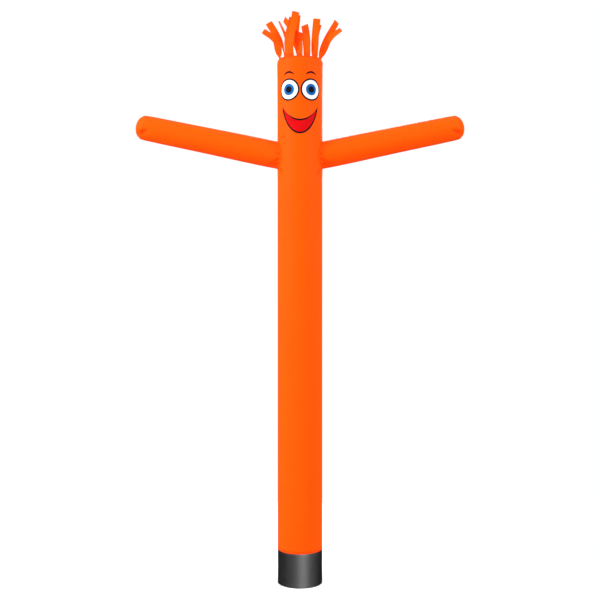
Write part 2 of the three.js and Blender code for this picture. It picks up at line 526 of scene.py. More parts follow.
HEM_EDGE = 0.354                # height of the hem's lower edge
TUBE_TOP = 5.499                # height of the tube's top rim, where its cloth turns in
TUBE_OUTLINE = (
    (0.2355, HEM_EDGE), (0.2355, 0.380), (0.2346, 0.385), (0.2352, 2.600), (0.2363, 4.240), (0.2386, 4.340),
    (0.2382, 4.640), (0.2368, 4.760), (0.2384, 5.290), (0.2406, 5.400), (0.2412, 5.456), (0.2403, 5.473),
    (0.2380, 5.485), (0.2336, 5.493), (0.2286, 5.498), (0.2264, TUBE_TOP), (0.2219, TUBE_TOP),
)
CLOTH_WALL = 0.0012
ROOT_STEPS = 180                # places round an arm at which its root is worked out
DOME_STEPS = 24                 # spans of a hand's dome, from its side to its middle
RING_STEPS = 720                # places on a course once round a form
EDGE_STEPS = 360                # places on a course round a patch
PROBE = 0.002                   # how far to each side of a place a direction is read
PROUD = 0.01                    # how far out of the cloth its outward direction is read
FAR_AWAY = 9.0                  # a distance past any seam's reach
FOLD_DEPTHS = (0.0015, 0.0095)  # how deep a crease is where its shade starts and where it is full
FULL_TURN = 2 * math.pi


@dataclass
class TubeForm:
    """The inflated tube's outer side, by distance round it from the front and by run up it."""

    outline: Outline = field(default_factory=lambda: Outline(TUBE_OUTLINE, start=HEM_EDGE))
    girth_radius: float = 0.2365
    creases: Sequence[Crease] = ()
    shoulder_height: float = 4.5
    shoulder_radius: float = 0.1436
    port_stretch: float = 1.02
    port_inside: float = -0.03
    port_flat: tuple[float, float] = (0.004, 0.022)
    hem_top: float = 0.3775
    hem_rise: float = 0.0006
    back_draw: float = 0.0016
    back_reach: float = 0.024
    back_lap: float = 0.007
    back_lap_rise: float = 0.0008
    back_foot: float = 0.4
    back_wave: float = 171.0
    back_wander: float = 23.0
    head_seam_below: float = 0.055
    shoulder_puckers: Puckers = Puckers(count=19, depth=0.0042, reach=0.055, phase=0.7)
    head_puckers: Puckers = Puckers(count=34, depth=0.0024, reach=0.035, phase=2.1)

    @property
    def girth(self) -> float:
        """The length once round the cloth."""
        return FULL_TURN * self.girth_radius

    def sink(self, across: Array, run: Array) -> Array:
        """How far creases, seams and puckers draw the cloth in.

        Args:
            across: Distances round the cloth, from the front towards +X.
            run: Distances up the cloth.

        Returns:
            The depth at each place, in metres.
        """
        total = np.zeros(np.broadcast(across, run).shape)
        for crease in self.creases:
            total = total + crease.sink(across, run, self.girth)
        for side in Side:
            total = self.gather_port(total, across - side.value * self.girth / 4, run)
        rim = self.outline.end - self.head_seam_below
        total = total + self.back_sink(across, run) + self.hem_sink(run)
        return total + self.head_puckers.sink(across / self.girth, np.abs(run - rim))

    def gather_port(self, total: Array, aside: Array, run: Array) -> Array:
        """Adds the gathers round one arm's port, and lets all else fade out at its edge.

        Args:
            total: How far the cloth sinks in so far.
            aside: Distances round the cloth from the port's middle.
            run: Distances up the cloth.

        Returns:
            The new depths.
        """
        rise = (run - self.shoulder_height) / self.port_stretch
        away = np.hypot(aside, rise) - self.shoulder_radius
        outside = away > self.port_inside
        near = np.where(outside, np.maximum(away, 0), FAR_AWAY)
        total = total + self.shoulder_puckers.sink(np.arctan2(aside, rise) / FULL_TURN, near)
        return total * np.where(outside, smooth_step(away, *self.port_flat), 1.0)

    def back_sink(self, across: Array, run: Array) -> Array:
        """How far the back seam draws the cloth in.

        Args:
            across: Distances round the cloth.
            run: Distances up the cloth.

        Returns:
            The depth at each place: uneven beside the seam, below 0 where the cloth is lapped.
        """
        back = np.abs(self.girth / 2 - np.abs(across))
        uneven = 0.5 + 0.5 * np.sin(run * self.back_wave + 1.7 * np.sin(run * self.back_wander))
        drawn = self.back_draw * uneven * np.exp(-((back / self.back_reach) ** 2))
        return (drawn - self.back_lap_rise * (back < self.back_lap)) * (run > self.back_foot)

    def hem_sink(self, run: Array) -> Array:
        """How far the stitching at the top of the hem presses the cloth in."""
        return self.hem_rise * (1 - smooth_step(np.abs(run - self.hem_top), 0.0, 0.006))

    def surface(self, across: Array, run: Array, proud: float = 0.0) -> Array:
        """Points on the tube's outer side.

        Args:
            across: Distances round the cloth, from the front towards +X.
            run: Distances up the cloth, equal to the height on the straight part.
            proud: How far outside the cloth the points lie.

        Returns:
            One row of x, y and z for each point.
        """
        across, run = np.broadcast_arrays(np.asarray(across, float), np.asarray(run, float))
        radius, height = self.outline.at(run)
        out, up = self.outline.facing(run)
        lift = proud - self.sink(across, run)
        angle = across / self.girth_radius
        reach = radius + lift * out
        return np.stack([reach * np.sin(angle), -reach * np.cos(angle), height + lift * up], axis=-1)

    def radius_at(self, height: float) -> float:
        """Plain radius of the straight tube at a height."""
        return float(self.outline.at(height)[0])


@dataclass
class ArmForm:
    """One inflated arm's outer side, by angle round it from the top and by run from its root."""

    side: Side
    tube: TubeForm
    tilt: float = math.radians(11.7)
    root_height: float = 4.5
    root_radius: float = 0.1436
    root_reach: float = 0.11
    hand_radius: float = 0.129
    straight: float = 1.434
    dome_depth: float = 0.09
    hand_seam: float = math.pi / 6
    settle: float = 0.34
    rim_flat: tuple[float, float] = (0.003, 0.022)
    swell: float = 0.0022
    swell_in: tuple[float, float] = (0.05, 0.40)
    swell_out: float = 1.36
    seam_draw: float = 0.0038
    seam_reach: float = 0.011
    creases: Sequence[Crease] = ()
    root_puckers: Puckers = Puckers(count=17, depth=0.0056, reach=0.075, phase=1.3)
    hand_puckers: Puckers = Puckers(count=23, depth=0.0046, reach=0.045, phase=0.4)
    roots: Array = field(init=False)
    outline: Outline = field(init=False)

    def __post_init__(self) -> None:
        """Lays out the arm's outline and finds where each line along it meets the tube."""
        dome = [math.pi / 2 * i / DOME_STEPS for i in range(1, DOME_STEPS + 1)]
        arc = [(self.hand_radius * math.cos(a), self.straight + self.dome_depth * math.sin(a)) for a in dome]
        self.outline = Outline([(self.root_radius, 0.0), (self.hand_radius, self.straight), *arc])
        self.roots = np.array([self.find_root(FULL_TURN * i / ROOT_STEPS) for i in range(ROOT_STEPS + 1)])

    @property
    def girth(self) -> float:
        """The length once round the arm's cloth at its root."""
        return FULL_TURN * self.root_radius

    @property
    def hand_run(self) -> float:
        """Works out where the sleeve ends and the hand's panel starts.

        Returns:
            The run at the seam.
        """
        angles = np.linspace(0, self.hand_seam, 200)
        inward = np.diff(self.hand_radius * np.cos(angles))
        onward = np.diff(self.dome_depth * np.sin(angles))
        return self.straight + float(np.hypot(inward, onward).sum())

    def own(self, point: Vector) -> Vector:
        """A point as the arm sees it, with the arm's axis as +Z and the tube's side at 0."""
        return self.place().inverted() @ point

    def own_angle(self, own: Vector) -> float:
        """The angle round the arm from its upper side, for a point as the arm sees it."""
        return math.atan2(own.y, -self.side.value * own.x)

    def place(self) -> Matrix:
        """Works out how the arm sits on the tube.

        Returns:
            The matrix from the arm's own axis, +Z, to its place.
        """
        reach = self.side.value * self.tube.radius_at(self.root_height)
        lean = Matrix.Rotation(self.side.value * (math.pi / 2 - self.tilt), 4, "Y")
        return Matrix.Translation((reach, 0, self.root_height)) @ lean

    def local(self, angle: Array, radius: Array, distance: Array) -> Array:
        """Finds points by their place in the arm's own terms.

        Args:
            angle: Angles round the arm from its upper side.
            radius: Distances from its axis.
            distance: Distances along its axis from the tube's side.

        Returns:
            One row of x, y and z for each point.
        """
        matrix = np.array(self.place())
        flat = np.stack([
            -self.side.value * radius * np.cos(angle),
            radius * np.sin(angle),
            distance,
        ], axis=-1)
        return flat @ matrix[:3, :3].T + matrix[:3, 3]

    def root_at(self, angle: Array | float) -> Array:
        """The distance along the axis where the arm starts, at any angle round it."""
        return np.interp(np.asarray(angle) % FULL_TURN, np.linspace(0, FULL_TURN, ROOT_STEPS + 1), self.roots)

    def find_root(self, angle: float) -> float:
        """Finds where the arm's side meets the tube's, by halving.

        Args:
            angle: The angle round the arm from its upper side.

        Returns:
            The distance along the arm's axis.
        """
        low, high = -self.root_reach, self.root_reach
        for _ in range(40):
            middle = (low + high) / 2
            radius = self.root_radius + (self.hand_radius - self.root_radius) * middle / self.straight
            point = self.local(np.array(angle), np.array(radius), np.array(middle))
            inside = math.hypot(point[0], point[1]) < self.tube.radius_at(float(point[2]))
            low, high = (middle, high) if inside else (low, middle)
        return (low + high) / 2

    def sink(self, angle: Array, run: Array) -> Array:
        """How far creases, puckers and the hand's seam draw the cloth in.

        Args:
            angle: Angles round the arm from its upper side.
            run: Distances along its cloth from the root.

        Returns:
            The depth at each place, in metres.
        """
        share = (angle / FULL_TURN) % 1.0
        across = share * self.girth
        total = self.root_puckers.sink(share, run)
        total = total + self.hand_puckers.sink(share, np.abs(run - self.hand_run))
        total = total + self.seam_draw * np.exp(-(((run - self.hand_run) / self.seam_reach) ** 2))
        swollen = smooth_step(run, *self.swell_in) * (1 - smooth_step(run, self.swell_out, self.straight))
        total = total - self.swell * swollen
        for crease in self.creases:
            total = total + crease.sink(across, run, self.girth)
        return total * smooth_step(run, *self.rim_flat)

    def surface(self, angle: Array, run: Array, proud: float = 0.0) -> Array:
        """Points on the arm's outer side.

        Args:
            angle: Angles round the arm from its upper side, in radians.
            run: Distances along its cloth from the root.
            proud: How far outside the cloth the points lie.

        Returns:
            One row of x, y and z for each point.
        """
        angle, run = np.broadcast_arrays(np.asarray(angle, float), np.asarray(run, float))
        radius, distance = self.outline.at(run)
        out, along = self.outline.facing(run)
        start = self.root_at(angle) * (1 - smooth_step(run, 0.0, self.settle))
        lift = proud - self.sink(angle, run)
        return self.local(angle, radius + lift * out, distance + start + lift * along)


# ---------------------------------------------------------------- making and finishing pieces


def turned(radii_and_heights: Sequence[tuple[float, float]], steps: int) -> bmesh.types.BMesh:
    """Spins a line of points once round Z, starting at the back, with its doubles merged.

    Args:
        radii_and_heights: The line, from its low end to its high one.
        steps: The number of faces once round.

    Returns:
        The shape, whose points carry the number of their row in the run layer.
    """
    bm = bmesh.new()
    layer = bm.verts.layers.float.new(RUN_LAYER)
    line = []
    for row, (radius, height) in enumerate(radii_and_heights):
        vert = bm.verts.new((0, max(radius, 0.0), height))
        vert[layer] = row
        line.append(vert)
    edges = [bm.edges.new(pair) for pair in pairwise(line)]
    bmesh.ops.spin(
        bm, geom=[*line, *edges], cent=(0, 0, 0), axis=(0, 0, 1), angle=FULL_TURN, steps=steps, use_merge=True
    )
    bmesh.ops.remove_doubles(bm, verts=bm.verts[:], dist=1e-7)
    return bm


def spaced_rows(stretches: Sequence[tuple[float, float, float]]) -> list[float]:
    """Spaces rows of faces evenly within each stretch of a piece.

    Args:
        stretches: Where each stretch starts and ends, and its wanted spacing.

    Returns:
        The places of the rows, the last one at the end of the last stretch.
    """
    rows = []
    for low, high, step in stretches:
        count = round((high - low) / step)
        rows += [low + (high - low) * i / count for i in range(count)]
    return [*rows, stretches[-1][1]]


def lay_cloth(bm: bmesh.types.BMesh, places: Mapping[int, tuple[float, float]], girth: float) -> None:
    """Lays the faces out flat in the cloth's own UV map.

    Args:
        bm: The piece.
        places: Across and along, in metres, by the number of each point.
        girth: The length once round, so that no face stretches back over the seam. 0 for a flat piece.
    """
    layer = bm.loops.layers.uv.new(CLOTH_UV)
    for face in bm.faces:
        first = places[face.verts[0].index][0]
        for loop in face.loops:
            across, along = places[loop.vert.index]
            if girth:
                across = first + (across - first + girth / 2) % girth - girth / 2
            loop[layer].uv = (across, along)


def mark_seams(bm: bmesh.types.BMesh, strength: Callable[[Vector], float]) -> None:
    """Stores how far each point belongs to a doubled seam.

    Args:
        bm: The piece.
        strength: Gives 0 to 1 for a point's place.
    """
    layer = bm.verts.layers.float.new(SEAM_AND_SHADE_LAYER)
    for vert in bm.verts:
        vert[layer] = strength(vert.co)


def shade_folds(bm: bmesh.types.BMesh, depths: Array) -> None:
    """Deepens the colour where creases draw the cloth in, as folds do that see less of the sky.

    Args:
        bm: The piece, with its seams marked.
        depths: How far each point is drawn in, in the order of the points.
    """
    layer = bm.verts.layers.float[SEAM_AND_SHADE_LAYER]
    for vert, shade in zip(bm.verts, smooth_step(depths, *FOLD_DEPTHS), strict=True):
        vert[layer] = max(vert[layer], float(shade))


def face_away(bm: bmesh.types.BMesh, outward: Callable[[Vector], Vector]) -> None:
    """Makes all faces agree, and turns them round if they don't look outward.

    Args:
        bm: The piece.
        outward: Gives the outward direction at a place on it.
    """
    bmesh.ops.recalc_face_normals(bm, faces=bm.faces[:])
    votes = sum(face.normal.dot(outward(face.calc_center_median())) * face.calc_area() for face in bm.faces)
    if votes < 0:
        bmesh.ops.reverse_faces(bm, faces=bm.faces[:])


def level_out(point: Vector) -> Vector:
    """The level direction from the figure's axis out to a point."""
    return Vector((point.x, point.y, 0))


@dataclass
class Maker:
    """Turns finished meshes into pieces that ride with the part."""

    wardrobe: Wardrobe = field(default_factory=Wardrobe)

    def piece(
        self,
        name: str,
        bm: bmesh.types.BMesh,
        finish: Finish,
        wall: float = 0.0,
        crisp: float = 40.0,
    ) -> bpy.types.Object:
        """Makes one piece.

        Args:
            name: The piece's name.
            bm: Its mesh, which is used up.
            finish: What it is made of.
            wall: Cloth thickness to add on the inner side, or 0 for a mesh that is closed already.
            crisp: Edges that turn by more than this many degrees stay crisp.

        Returns:
            The piece, riding with the part.
        """
        mesh = bpy.data.meshes.new(name)
        bm.normal_update()
        bm.to_mesh(mesh)
        bm.free()
        made = bpy.data.objects.new(name, mesh)
        bpy.context.scene.collection.objects.link(made)
        if wall:
            solidify = made.modifiers.new("wall", "SOLIDIFY")
            solidify.thickness = wall
            solidify.offset = -1
            solidify.use_even_offset = True
            graph = bpy.context.evaluated_depsgraph_get()
            walled = bpy.data.meshes.new_from_object(made.evaluated_get(graph))
            made.modifiers.clear()
            made.data = walled
            bpy.data.meshes.remove(mesh)
            walled.name = name
        made.data.shade_smooth()
        made.data.set_sharp_from_angle(angle=math.radians(crisp))
        made.data.materials.clear()
        made.data.materials.append(self.wardrobe.material(finish))
        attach(made, "root")
        log.info("%s: %d faces", name, len(made.data.polygons))
        return made


def read_course(points: Array, runs: Array, at: Array) -> Array:
    """Points, or directions, on a course at the given distances along it."""
    return np.stack([np.interp(at, runs, points[:, axis]) for axis in range(3)], axis=-1)


@dataclass(frozen=True)
class Stitching:
    """Rows of short stitches along seams, a few dozen faces each."""

    pitch: float = 0.0062
    length: float = 0.0046
    width: float = 0.0011
    height: float = 0.0007
    batch: int = 40

    def sew(self, bm: bmesh.types.BMesh, points: Array, normals: Array, crosswise: bool = False) -> None:
        """Sews one row.

        Args:
            bm: The mesh that takes the stitches.
            points: A closely spaced course over the cloth's outer side.
            normals: The cloth's outward direction at each point.
            crosswise: Whether the stitches lie across the course, as over the edge of a patch.
        """
        steps = np.linalg.norm(np.diff(points, axis=0), axis=1)
        runs = np.concatenate(([0.0], np.cumsum(steps)))
        count = max(2, round(runs[-1] / self.pitch))
        at = (np.arange(count) + 0.5) * runs[-1] / count
        courses = read_course(points, runs, at + PROBE / 2) - read_course(points, runs, at - PROBE / 2)
        outward = read_course(normals, runs, at)
        stitches = list(zip(read_course(points, runs, at), courses, outward, strict=True))
        for start in range(0, count, self.batch):
            few = bmesh.new()
            for middle, course, out in stitches[start:start + self.batch]:
                matrix = self.stitch_place(Vector(middle), Vector(course), Vector(out), crosswise)
                bmesh.ops.create_uvsphere(few, u_segments=6, v_segments=4, radius=1.0, matrix=matrix)
            mesh = bpy.data.meshes.new("stitch_batch")
            few.to_mesh(mesh)
            few.free()
            bm.from_mesh(mesh)
            bpy.data.meshes.remove(mesh)

    def stitch_place(self, middle: Vector, course: Vector, out: Vector, crosswise: bool) -> Matrix:
        """Works out how one stitch lies.

        Args:
            middle: Its middle.
            course: Which way its row runs.
            out: The cloth's outward direction.
            crosswise: Whether it lies across the row.

        Returns:
            The matrix that makes a unit ball this stitch.
        """
        up = out.normalized()
        along = (course - up * course.dot(up)).normalized()
        aside = up.cross(along)
        if crosswise:
            along, aside = aside, -along
        axes = Matrix((along * self.length / 2, aside * self.width / 2, up * self.height)).transposed()
        return Matrix.Translation(middle) @ axes.to_4x4()


def ring_course(surface: Callable[[Array, Array], Array], turn: float, run: float) -> tuple[Array, Array]:
    """A closed course round a form, and the form's outward directions along it.

    Args:
        surface: The form's surface, by place round it and run along it.
        turn: What once round measures in the form's own terms.
        run: The run that the course keeps to.

    Returns:
        The course's points and normals.
    """
    around = np.linspace(0.0, turn, RING_STEPS + 1)
    level = np.full_like(around, run)
    points = surface(around, level)
    step = turn / RING_STEPS
    aside = surface(around + step, level) - surface(around - step, level)
    upward = surface(around, level + PROBE) - surface(around, level - PROBE)
    normals = np.cross(aside, upward)
    normals /= np.linalg.norm(normals, axis=1)[:, None] + 1e-12
    return points, normals


# ---------------------------------------------------------------- tube and head


TUBE_CREASES = (
    Crease(across=-0.23, along=2.35, lean=0.0, length=4.1, width=0.09, depth=-0.0016),
    Crease(across=0.02, along=2.6, lean=0.3, length=4.6, width=0.10, depth=0.0022),
    Crease(across=0.17, along=2.2, lean=-0.2, length=3.9, width=0.08, depth=-0.0014),
    Crease(across=0.52, along=2.5, lean=0.2, length=4.2, width=0.12, depth=0.0020),
    Crease(across=-0.55, along=2.4, lean=-0.3, length=4.0, width=0.11, depth=0.0018),
    Crease(across=-0.240, along=4.325, lean=-40.0, length=0.16, width=0.034, depth=0.0110, peak=0.3),
    Crease(across=-0.196, along=4.392, lean=-74.0, length=0.10, width=0.022, depth=0.0050, peak=0.2),
    Crease(across=-0.268, along=4.300, lean=-24.0, length=0.14, width=0.03, depth=0.0034, peak=0.2),
    Crease(across=0.244, along=4.325, lean=40.0, length=0.16, width=0.034, depth=0.0110, peak=0.7),
    Crease(across=0.205, along=4.405, lean=76.0, length=0.09, width=0.02, depth=0.0032, peak=0.8),
    Crease(across=0.262, along=4.296, lean=22.0, length=0.15, width=0.03, depth=0.0034, peak=0.8),
    Crease(across=-0.200, along=4.668, lean=70.0, length=0.12, width=0.028, depth=0.0090, peak=0.4),
    Crease(across=-0.180, along=4.588, lean=72.0, length=0.09, width=0.02, depth=0.0030, peak=0.2),
    Crease(across=0.219, along=4.648, lean=-46.0, length=0.12, width=0.024, depth=0.0040, peak=0.8),
    Crease(across=0.186, along=4.580, lean=-70.0, length=0.09, width=0.02, depth=0.0028, peak=0.8),
    Crease(across=0.512, along=4.352, lean=-50.0, length=0.13, width=0.026, depth=0.0046, peak=0.2),
    Crease(across=-0.508, along=4.348, lean=52.0, length=0.12, width=0.026, depth=0.0046, peak=0.8),
    Crease(across=0.534, along=4.642, lean=46.0, length=0.12, width=0.024, depth=0.0040, peak=0.2),
    Crease(across=-0.530, along=4.646, lean=-48.0, length=0.12, width=0.024, depth=0.0040, peak=0.8),
    Crease(across=-0.10, along=0.47, lean=8.0, length=0.16, width=0.03, depth=0.0018, peak=0.2),
    Crease(across=0.13, along=0.46, lean=-6.0, length=0.14, width=0.026, depth=0.0016, peak=0.2),
    Crease(across=0.31, along=0.48, lean=-4.0, length=0.18, width=0.03, depth=0.0020, peak=0.2),
    Crease(across=-0.33, along=0.47, lean=5.0, length=0.17, width=0.03, depth=0.0018, peak=0.2),
    Crease(across=0.62, along=0.47, lean=3.0, length=0.2, width=0.03, depth=0.0020, peak=0.2),
    Crease(across=-0.02, along=5.405, lean=3.0, length=0.13, width=0.03, depth=0.0016, peak=0.8),
    Crease(across=-0.17, along=5.40, lean=-5.0, length=0.14, width=0.03, depth=0.0018, peak=0.8),
    Crease(across=0.16, along=5.40, lean=6.0, length=0.12, width=0.026, depth=0.0016, peak=0.8),
    Crease(across=0.44, along=5.40, lean=-4.0, length=0.15, width=0.03, depth=0.0018, peak=0.8),
    Crease(across=-0.46, along=5.41, lean=4.0, length=0.14, width=0.03, depth=0.0018, peak=0.8),
)


@dataclass
class Tube:
    """The tall tube: one cloth with its hem, its back seam and the two ports under the arms."""

    form: TubeForm
    maker: Maker
    sides: int = 132
    hem_shade: tuple[float, float] = (0.378, 0.384)
    top_shade: tuple[float, float] = (5.487, 5.495)
    port_shade: tuple[float, float] = (0.006, 0.014)
    back_seam_shade: tuple[float, float] = (0.006, 0.010)
    port_zone: tuple[float, float] = (4.2, 4.8)
    port_margin: float = 0.002
    other_side: float = -0.2

    def rows(self) -> list[float]:
        """Spaces the rows of faces, closer together where the cloth is drawn in.

        Returns:
            The run of each row.
        """
        end = self.form.outline.end
        return spaced_rows((
            (HEM_EDGE, 0.392, 0.005), (0.392, 0.62, 0.016), (0.62, 4.12, 0.035), (4.12, 4.28, 0.018),
            (4.28, 4.74, 0.0085), (4.74, 5.30, 0.022), (5.30, 5.44, 0.011), (5.44, end, 0.0035),
        ))

    def seam_strength(self, point: Vector) -> float:
        """Tells how far a place lies on doubled cloth: the hem, the back seam and round each port.

        Args:
            point: The place.

        Returns:
            The strength, from 0 to 1.
        """
        form = self.form
        across = math.atan2(point.x, -point.y) * form.girth_radius
        aside = abs(across) - form.girth / 4
        away = abs(math.hypot(aside, point.z - form.shoulder_height) - form.shoulder_radius)
        hem = 1 - float(smooth_step(point.z, *self.hem_shade))
        back = 1 - float(smooth_step(form.girth / 2 - abs(across), *self.back_seam_shade))
        port = 1 - float(smooth_step(away, *self.port_shade))
        top = float(smooth_step(point.z, *self.top_shade))
        return max(hem, 0.8 * back, 0.6 * port, 0.7 * top)

    def build(self, arms: Sequence[ArmForm]) -> None:
        """Builds the tube's cloth.

        Args:
            arms: The arms whose ports are left open in it.
        """
        rows = self.rows()
        bm = turned([tuple(map(float, self.form.outline.at(run))) for run in rows], self.sides)
        runs = bm.verts.layers.float[RUN_LAYER]
        for vert in bm.verts:
            vert[runs] = rows[round(vert[runs])]
        for arm in arms:
            self.open_port(bm, arm)
        bm.verts.index_update()
        places = {}
        for vert in bm.verts:
            places[vert.index] = (math.atan2(vert.co.x, -vert.co.y) * self.form.girth_radius, vert[runs])
        across, run = np.array([places[vert.index] for vert in bm.verts]).T
        for vert, point in zip(bm.verts, self.form.surface(across, run), strict=True):
            vert.co = point
        face_away(bm, level_out)
        lay_cloth(bm, places, self.form.girth)
        mark_seams(bm, self.seam_strength)
        # Painted shade: the colour deepens where creases draw the cloth in
        shade_folds(bm, self.form.sink(across, run))
        piece = self.maker.piece("tube_cloth", bm, ORANGE, CLOTH_WALL)
        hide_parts("body_tube")
        rows[-1] - rows[0]

    def open_port(self, bm: bmesh.types.BMesh, arm: ArmForm) -> None:
        """Takes the cloth away under an arm and draws the edge onto the arm's bore.

        Args:
            bm: The tube, before its creases are laid in.
            arm: The arm.
        """
        runs = bm.verts.layers.float[RUN_LAYER]
        bore = arm.root_radius - CLOTH_WALL
        gone = [face for face in bm.faces if self.is_covered(arm.own(face.calc_center_median()), bore)]
        bmesh.ops.delete(bm, geom=gone, context="FACES")
        low, high = self.port_zone
        rim = [vert for vert in bm.verts if vert.is_boundary and low < vert.co.z < high]
        for vert in rim:
            own = arm.own(vert.co)
            if own.z < self.other_side:
                continue
            angle = arm.own_angle(own)
            edge = arm.local(np.array(angle), np.array(bore), arm.root_at(angle))
            vert.co = edge
            vert[runs] = float(edge[2])

    def is_covered(self, own: Vector, bore: float) -> bool:
        """Whether a place, as an arm sees it, lies over that arm's bore."""
        return own.z > self.other_side and math.hypot(own.x, own.y) < bore - self.port_margin


@dataclass
class Head:
    """The domed panel that closes the tube's top."""

    maker: Maker
    rim: float = 0.2216
    rise: float = 0.03
    foot: float = TUBE_TOP
    sway: float = 0.0012
    pucker_start: float = 0.012
    seam_shade: tuple[float, float] = (0.205, 0.214)
    rings: int = 22
    sides: int = 96
    puckers: Puckers = Puckers(count=29, depth=0.0030, reach=0.06, phase=0.9)

    def surface(self, angle: Array, radius: Array) -> Array:
        """Points on the dome.

        Args:
            angle: Angles round it from the front.
            radius: Distances from its middle.

        Returns:
            One row of x, y and z for each point.
        """
        share, inward = radius / self.rim, self.rim - radius
        gathers = self.puckers.sink(angle / FULL_TURN, inward) * smooth_step(inward, 0.0, self.pucker_start)
        waves = self.sway * np.sin(5 * angle + 0.6) * share**2 * (1 - share) * 4
        height = self.foot + self.rise * (1 - share**2) - gathers + waves
        return np.stack([radius * np.sin(angle), -radius * np.cos(angle), height], axis=-1)

    def seam_strength(self, point: Vector) -> float:
        """How far a place lies on the doubled cloth of the rim, from 0 to 1."""
        return float(smooth_step(math.hypot(point.x, point.y), *self.seam_shade))

    def build(self) -> None:
        """Builds the head's panel."""
        radii = [self.rim * (1 - (i / self.rings) ** 1.25) for i in range(self.rings + 1)]
        bm = turned([(radius, self.foot) for radius in radii], self.sides)
        for vert in bm.verts:
            angle, radius = math.atan2(vert.co.x, -vert.co.y), math.hypot(vert.co.x, vert.co.y)
            vert.co = self.surface(np.array(angle), np.array(radius))
        bm.verts.index_update()
        face_away(bm, lambda point: Vector((0, 0, 1)))
        lay_cloth(bm, {vert.index: (vert.co.x, vert.co.y) for vert in bm.verts}, 0)
        mark_seams(bm, self.seam_strength)
        piece = self.maker.piece("head_panel", bm, ORANGE, CLOTH_WALL)
        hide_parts("head_cap")


# ---------------------------------------------------------------- arms

ARM_CREASES = (
    Crease(across=0.30, along=0.03, lean=14.0, length=0.17, width=0.036, depth=0.0080, peak=0.2),
    Crease(across=0.38, along=0.02, lean=-8.0, length=0.15, width=0.034, depth=0.0090, peak=0.2),
    Crease(across=0.47, along=0.02, lean=6.0, length=0.20, width=0.038, depth=0.0095, peak=0.2),
    Crease(across=0.56, along=0.02, lean=-10.0, length=0.17, width=0.036, depth=0.0105, peak=0.2),
    Crease(across=0.615, along=0.025, lean=-34.0, length=0.13, width=0.030, depth=0.0120, peak=0.25),
    Crease(across=0.68, along=0.02, lean=-16.0, length=0.11, width=0.026, depth=0.0085, peak=0.25),
    Crease(across=0.16, along=0.06, lean=-6.0, length=0.12, width=0.03, depth=0.0030, peak=0.12),
    Crease(across=0.80, along=0.06, lean=9.0, length=0.13, width=0.03, depth=0.0030, peak=0.12),
    Crease(across=0.02, along=0.05, lean=4.0, length=0.10, width=0.03, depth=0.0024, peak=0.12),
    Crease(across=0.44, along=0.72, lean=0.5, length=1.3, width=0.09, depth=0.0022),
    Crease(across=0.10, along=0.75, lean=-0.4, length=1.2, width=0.07, depth=-0.0012),
    Crease(across=0.71, along=0.70, lean=0.6, length=1.2, width=0.08, depth=0.0016),
    Crease(across=0.605, along=1.425, lean=-40.0, length=0.19, width=0.050, depth=0.0190, peak=0.55),
    Crease(across=0.745, along=1.40, lean=-8.0, length=0.12, width=0.046, depth=-0.0060, peak=0.6),
    Crease(across=0.585, along=1.42, lean=8.0, length=0.13, width=0.026, depth=0.0050, peak=0.8),
    Crease(across=0.27, along=1.38, lean=-6.0, length=0.16, width=0.03, depth=0.0024, peak=0.85),
    Crease(across=0.45, along=1.37, lean=5.0, length=0.18, width=0.032, depth=0.0028, peak=0.85),
    Crease(across=0.62, along=1.38, lean=-4.0, length=0.15, width=0.03, depth=0.0022, peak=0.85),
)


